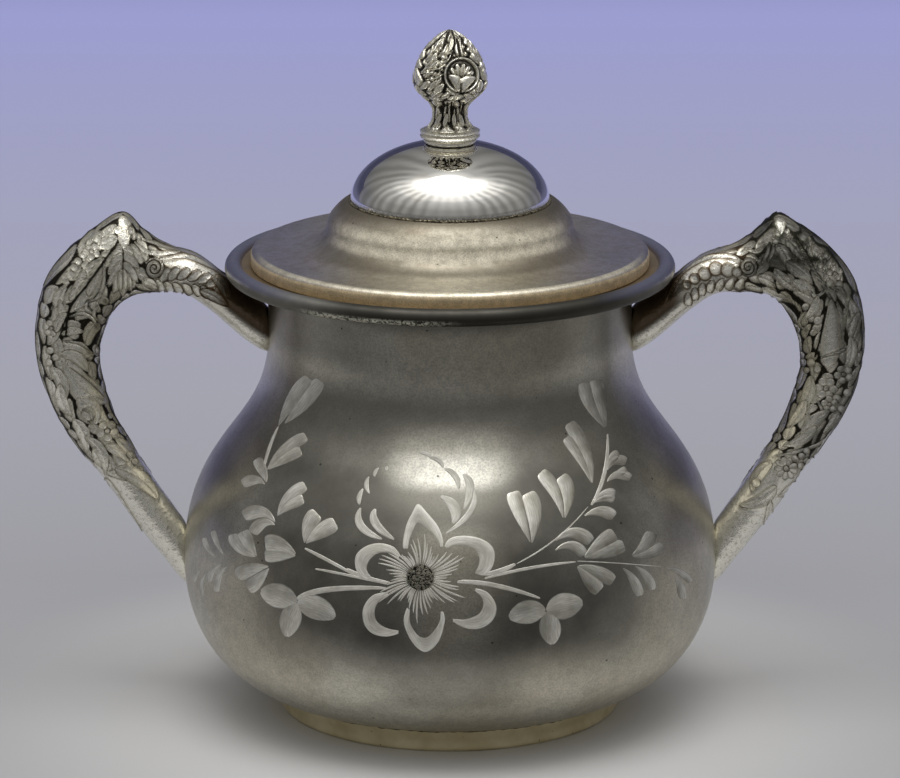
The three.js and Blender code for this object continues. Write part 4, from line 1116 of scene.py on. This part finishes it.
def lid_plate(name):
    """The cover: frosted plate that has gone warm, golden on its upright edge and under the brim, with a
    painted reflection of lavender at its sides, a painted highlight in the middle of its front and on the
    front of its shoulder and brim, darker by the seam, and painted shade in the hollow of the ogee on the
    front."""
    finish = Finish(name, (188, 182, 166))
    x, y, z = finish.axes()
    r = (x * x + y * y).root()
    front = (0 - y).climb(4, 22)
    gold = (r.climb(45.2, 45.6) * z.fall(107.8, 108.3)).most(z.fall(104.5, 105.2))
    clouds = finish.noise(13, 4, 0.6).climb(0.36, 0.66)
    # the front of the shoulder, where a painted highlight goes
    wall = r.band(26.2, 28.0, 28.4, 29.6) * front
    finish.coat(clouds * 0.5, (164, 156, 139))
    finish.coat(finish.noise(20, 3, 0.6).climb(0.45, 0.62) * 0.25, (168, 148, 118))
    finish.coat(gold * 0.8, (224, 200, 158))
    # painted highlight in the middle of the front
    finish.coat(abs(x).fall(3, 20) * r.climb(25.4, 27.6) * front * (1 - gold) * 0.45, (255, 247, 225))
    # painted reflection: lavender at the sides
    finish.coat(abs(x).climb(16, 40) * (1 - gold) * 0.62, (136, 138, 178))
    # darker by the seam all round, and painted shade in the hollow of the ogee on the front
    finish.coat((r.fall(24, 27.2) * 0.8).most(r.band(28.4, 30.4, 31.8, 35) * front * 0.65), (104, 97, 83))
    # painted highlight on the front of the shoulder and of the brim's edge, where the plate is also less
    # metallic
    finish.coat(wall.most(r.climb(43.6, 44.2) * z.climb(107.8, 108.3) * front) * 0.8, (250, 242, 220))
    grain = finish.noise(0.3, 2, 0.7)
    finish.coat(finish.noise(2.2, 4, 0.65).climb(0.38, 0.66) * 0.3, (112, 103, 86))
    finish.coat(grain.climb(0.42, 0.62) * 0.3, (92, 84, 72))
    finish.coat(finish.specks(3.4, 0.05, 0.08, 7, 0.5) * 0.8, (36, 30, 24))
    rougher = r.band(25.6, 27.2, 28.8, 30.2) * front * 0.2
    return finish.done(Roughness=clouds * 0.06 + finish.noise(1.1, 3) * 0.1 + rougher + 0.43,
                       Metallic=1 - (wall * 0.8).most(gold * 0.55),
                       Normal=finish.bump(grain + finish.noise(0.9, 2) * 0.8, 0.010))


def rim_plate(name):
    """The rim: painted shade on the front of its outside and under the bead, lifted by painted light low on
    the left, with a worn bright line low on the front left, a painted reflection of lavender on top at its
    sides, and golden in the recess that the lid covers."""
    finish = Finish(name, (168, 166, 158), Metallic=1.0)
    x, y, z = finish.axes()
    clouds = finish.noise(7, 4, 0.6).climb(0.35, 0.65)
    below = z.fall(103, 105.4)
    finish.coat(clouds * 0.6, (128, 126, 118))
    # painted shade on the front of the outside, less of it on the left
    finish.coat((0 - y).climb(18, 40) * x.climb(-36, -20, 0.3, 1) * 0.9, (54, 52, 46))
    # painted shade under the bead
    finish.coat(below * 0.8, (70, 68, 61))
    # painted light that lifts the shade under the bead on the left
    finish.coat(below * x.climb(-46, -12, 0.6, 0), (140, 136, 122))
    # painted reflection: lavender on top at the sides
    finish.coat(abs(x).climb(30, 48) * z.climb(104.4, 105.4) * 0.6, (110, 114, 160))
    finish.coat((x * x + y * y).root().fall(47.2, 48.6) * 0.8, (150, 130, 94))
    worn = (0 - y).climb(30, 42) * x.band(-36, -28, -8, 4) * z.band(102.2, 102.8, 103.4, 104.2)
    worn = worn * finish.noise(0.8, 4, 0.7).climb(0.42, 0.56)
    finish.coat(worn, (232, 230, 214))
    return finish.done(Roughness=clouds * 0.08 + worn * 0.1 + 0.46,
                       Normal=finish.bump(finish.noise(0.35, 3, 0.7) + worn * 3, 0.014))


def cast_plate(name, metallic):
    """Bright plate over a casting: black in the recesses and rubbed on the crowns."""
    finish = Finish(name, (228, 223, 206), Metallic=metallic)
    height = finish.kept("relief")
    finish.coat(finish.noise(5, 3).climb(0.35, 0.7) * 0.3, (180, 171, 148))
    finish.coat(height.climb(0.62, 0.95) * 0.85, (255, 252, 240))
    finish.coat(height.fall(0.20, 0.58), (36, 32, 24))
    finish.coat(finish.noise(0.7, 3, 0.7).climb(0.5, 0.7) * 0.5, (84, 77, 62))
    grain = finish.noise(0.7, 3, 0.7) + finish.noise(2.4, 2) * 1.5
    finish.set(Roughness=height.climb(0.3, 1.0, 0.38, 0.18),
               Normal=finish.bump(height, 0.5, over=finish.bump(grain, 0.11)))
    return finish, height


def handle_plate(name):
    """The handles: tarnished outside and on top, with brown painted shade near the neck under the rim and on
    the arm's inner side by the body.
    """
    finish, height = cast_plate(name, 0.88)
    x, _, z = finish.axes()
    tarnish = (finish.kept("outer") * 0.74).most(z.climb(99, 108)) * x.climb(64, 72) * z.climb(48, 66)
    tarnish = tarnish * finish.noise(6, 3).climb(0.3, 0.6, 0.6, 1) * height.climb(0.80, 1.0, 1, 0.72)
    finish.coat(tarnish * 0.95, (40, 40, 30))
    # painted shade, brown: near the neck under the rim, deepest in the recesses
    finish.coat(z.climb(88, 94) * abs(x).fall(60, 71) * height.climb(0.35, 0.95, 0.95, 0.1), (88, 66, 42))
    # painted shade, brown: on the arm's inner side by the body
    finish.coat(finish.kept("stain") * 0.94, (84, 64, 40))
    return finish.done()


def brassy_plate(name, light, dark):
    """Plate worn through to a yellow base, blotched."""
    finish = Finish(name, light, Metallic=0.65)
    clouds = finish.noise(9, 3, 0.55).climb(0.3, 0.7)
    pits = finish.specks(1.9, 0.06, 0.12, 4, 0.46)
    finish.coat(clouds, dark)
    finish.coat(pits * 0.8, (50, 42, 30))
    grain = finish.noise(0.4, 3, 0.7)
    return finish.done(Roughness=clouds * 0.1 + 0.3, Normal=finish.bump(grain - pits, 0.02))


def solder_grey(name):
    """Solder left rough: dark grains and bright ones."""
    finish = Finish(name, (48, 43, 34), Metallic=1.0)
    grains = finish.noise(0.55, 4, 0.7).climb(0.38, 0.62)
    finish.coat(grains, (150, 142, 120))
    return finish.done(Roughness=grains * 0.15 + 0.38, Normal=finish.bump(grains, 0.08))


def eye_stipple(name):
    """The flower's eye: dark metal with bright dots."""
    finish = Finish(name, (34, 33, 27), Metallic=1.0, Roughness=0.45)
    dots = finish.noise(0.5, 3, 0.7).climb(0.4, 0.62)
    finish.coat(dots, (150, 146, 132))
    return finish.done(Normal=finish.bump(dots, 0.05))


# Studio

FLOOR_REACH, SWEEP_START, SWEEP_BEND, SWEEP_TOP = 2600.0, 1900.0, 500.0, 950.0

# Tones of the paper by its distance behind the bowl
PAPER_NEAR, PAPER_FAR = -100, 1400
PAPER_TONES = [(-60, (176, 176, 177)), (100, (163, 163, 168)), (280, (172, 172, 184)), (530, (174, 175, 204)),
               (850, (171, 174, 229)), (1300, (112, 113, 146))]
CARD_NEAR, CARD_FAR, CARD_HALF, CARD_LIFT = -98.0, -900.0, 520.0, 1.5

# Light of the tent by the sine of the elevation, as a share of its strength, and how much bluer where it is
TENT_STRENGTH = 4.0
TENT_FRONT = [(0.00, 0.050, 1), (0.10, 0.068, 1), (0.34, 0.078, 1), (0.58, 0.130, 1), (0.68, 0.165, 1),
              (0.76, 0.270, 1), (0.82, 0.300, 1), (0.88, 0.350, 1), (0.93, 0.660, 1), (1.00, 0.720, 1)]
TENT_BACK = [(0.00, 0.046, 1.3), (0.25, 0.038, 1.25), (0.50, 0.055, 1), (0.74, 0.078, 1), (0.86, 0.105, 1),
             (0.93, 0.120, 1), (0.97, 0.210, 1), (1.00, 0.800, 1)]
PLEATS_ROUND = 25
# The lamp, in metres and watts
LAMP_PLACE, LAMP_SIZE, LAMP_POWER = (-0.02, -0.15, 0.95), (0.70, 0.60), 1.9
LAMP_TILT = math.radians(0.0603)


def sweep():
    """Floor and backdrop in one sheet: level, then a quarter circle, then upright behind."""
    level = np.linspace((-FLOOR_REACH, 0), (SWEEP_START - 60, 0), 30)
    wall = SWEEP_START + SWEEP_BEND
    upright = np.linspace((wall, SWEEP_BEND + 60), (wall, SWEEP_TOP), 6)
    profile = np.vstack([level, arc((SWEEP_START, SWEEP_BEND), SWEEP_BEND, -90, 0, 24), upright])
    x = np.linspace(-FLOOR_REACH, FLOOR_REACH, 40)
    points = np.stack(np.broadcast_arrays(x, profile[:, :1], profile[:, 1:]), -1)
    return shell("paper_sweep", points, wrap=False)


def paper():
    """Pale grey paper that turns lavender further back, with painted light round the bowl where its shadow
    falls.
    """
    finish = Finish("pale_paper", Roughness=0.9, Specular_IOR_Level=0.2)
    x, y, z = finish.axes()
    span = PAPER_FAR - PAPER_NEAR
    stops = [((place - PAPER_NEAR) / span, tone(colour)) for place, colour in PAPER_TONES]
    finish.colour = finish.node("ValToRGB", {"stops": stops}, {"Fac": (y + z - PAPER_NEAR) * (1 / span)})
    # painted light: the paper paler round the bowl, where its shadow falls
    finish.coat((x * x + y * y).root().climb(45, 125, 0.9, 0), (213, 212, 210))
    return finish.done()


def black_card():
    """A black card lying in front of the bowl, for dark reflections only."""
    corners = np.array([[(x, y, CARD_LIFT) for x in (-CARD_HALF, CARD_HALF)] for y in (CARD_FAR, CARD_NEAR)])
    card = shell("black_card", corners, wrap=False)
    card.visible_camera = card.visible_diffuse = card.visible_shadow = False
    card.data.materials.append(Finish("black_paper", (92, 92, 92), Roughness=0.9).done())
    return card


def light_of(tent):
    """The stops of a tent's light: grey, with its blue times the last number."""
    return [(sine, (level, level, level * blue, 1)) for sine, level, blue in tent]


def studio_world():
    """A tent of pleated white cloth, bright overhead and dimmer lower down and behind."""
    world = bpy.data.worlds.new("studio")
    world.use_nodes = True
    bpy.context.scene.world = world
    shader = Shader(world.node_tree)
    direction = shader.node("TexCoord", output="Generated")
    x, y, z = shader.parts(direction)
    azimuth = x.turn_of(0 - y)
    folds = shader.noise(1, 2, 0.5, shader.stretched(direction, (3 * METRES, 3 * METRES, 0.6 * METRES)))
    pleats = (azimuth * PLEATS_ROUND + folds * 6).sine() * 0.5 + 0.5
    pleats = pleats * abs(azimuth).climb(0.1, 0.8, 0.25, 1)
    front, back = (shader.node("ValToRGB", {"stops": light_of(tent)}, {"Fac": z})
                   for tent in (TENT_FRONT, TENT_BACK))
    cloth = shader.mix(abs(azimuth).climb(1.45, 2.35), front, back)
    background = world.node_tree.nodes["Background"]
    shader.feed(background.inputs["Strength"], TENT_STRENGTH)
    shader.feed(background.inputs["Color"],
                shader.mix(pleats * z.climb(0.80, 0.92, 0.48, 0), cloth, tone((40, 40, 39))))


def placed(name, data, location, rotation):
    """An object for a lamp or a camera, in metres."""
    holder = bpy.data.objects.new(name, data)
    holder.location, holder.rotation_euler = location, rotation
    bpy.context.scene.collection.objects.link(holder)
    return holder


def overhead_softbox():
    """An oval soft lamp above the bowl, facing down and a hair's breadth back."""
    light = bpy.data.lights.new("overhead_softbox", "AREA")
    light.shape, light.energy = "ELLIPSE", LAMP_POWER
    light.size, light.size_y = LAMP_SIZE
    placed("overhead_softbox", light, LAMP_PLACE, (LAMP_TILT, 0, 0))


def studio_camera():
    """The camera that the photograph was taken with."""
    camera = bpy.data.cameras.new("camera")
    camera.sensor_width, camera.sensor_fit = SENSOR_WIDTH, "HORIZONTAL"
    camera.lens = FOCAL_PIXELS / PHOTO_WIDTH * SENSOR_WIDTH
    upward = (math.pi / 2 - CAMERA_TILT, 0, 0)
    bpy.context.scene.camera = placed("camera", camera, CAMERA_PLACE * METRES, upward)


# The bowl put together

def stands_for(piece, material, body, slot, *nodes):
    """Gives a piece its finish, puts it on its body and hides the CAD nodes that it stands for."""
    piece.data.materials.append(material)
    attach(piece, body)
    if nodes:
        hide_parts(*nodes)


def refinished(node, material):
    """A CAD node that stays, with a better finish."""
    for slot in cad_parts[node].material_slots:
        slot.material = material


# Copies of one finish for the cuts, each with its metallic share, its share of painted shade and its outline:
# the right leaves' copy is painted darker, and the copy for the flower, stems and sprigs lighter
cuts = engraved_plate("bright_cut_plate", 0.75, 0.4, 0.8)
dull_cuts_painted_darker = engraved_plate("dull_cut_plate_painted_darker", 1.0, 0.62, 0.8)
cuts_painted_lighter = engraved_plate("bright_petal_plate_painted_lighter", 0.3, 0.36, 0.4)
warm_lid = lid_plate("warm_frosted_plate")
solder = solder_grey("rough_solder")
worn_foot = brassy_plate("worn_foot_plate", (240, 229, 194), (214, 200, 158))
fastening = brassy_plate("dull_brass", (196, 172, 116), (140, 118, 74))

stands_for(body_shell(), frosted_plate("frosted_plate"), "bowl", "satin_plate", "body_shell")
stands_for(foot_ring(), worn_foot, "bowl", "worn_brass", "foot_ring")
stands_for(rim_mount(), rim_plate("rim_plate"), "bowl", "satin_plate", "rim_mount")
stands_for(solder_seam("foot_solder", 41.15, 5.7, 0.42, 11), solder, "bowl", "worn_brass")
for piece, material in (
    (bright_cuts("engraved_left_leaves", LEFT_LEAVES, LEAF, LEAF_FULLNESS, LEAN), cuts),
    (bright_cuts("engraved_right_leaves", RIGHT_LEAVES, LEAF, LEAF_FULLNESS, LEAN), dull_cuts_painted_darker),
    (bright_cuts("engraved_trefoils", TREFOILS, SPEAR), cuts),
    (bright_cuts("engraved_stems", STEMS, STEM), cuts_painted_lighter),
    (bright_cuts("engraved_sprigs", SPRIGS, SPEAR, SPRIG_FULLNESS), cuts_painted_lighter),
    (bright_cuts("engraved_stamens", stamen_cuts(), SPEAR), cuts_painted_lighter),
    (petals("engraved_petals"), cuts_painted_lighter),
    (flower_eye(), eye_stipple("stippled_eye")),
):
    stands_for(piece, material, "bowl", "satin_plate")

casting_points, casting_values = handle_casting()
castings = handle_plate("cast_handle_plate")
for side, points in (("right", casting_points), ("left", half_turn(casting_points))):
    casting = shell(f"cast_handle_{side}", points, poles=(True, True), values=casting_values)
    stands_for(casting, castings, "bowl", "cast_plate", f"handle_{side}")

stands_for(lid_cover(), warm_lid, "lid", "lid_plate", "lid_cover")
stands_for(lid_dome(), mirror_plate("polished_plate"), "lid", "bright_plate", "lid_dome")
stands_for(solder_seam("dome_solder", 22.95, 119.78, 0.34, 12), solder, "lid", "lid_plate")
stands_for(finial_bud(), cast_plate("cast_finial_plate", 0.8)[0].done(), "lid", "cast_plate", "finial_bud")
refinished("lid_bezel", warm_lid)
for node in ("finial_stud", "finial_washer", "finial_nut"):
    refinished(node, fastening)

floor = sweep()
floor.data.materials.append(paper())
black_card()
studio_world()
overhead_softbox()
studio_camera()
bpy.context.scene.view_settings.view_transform = "Standard"
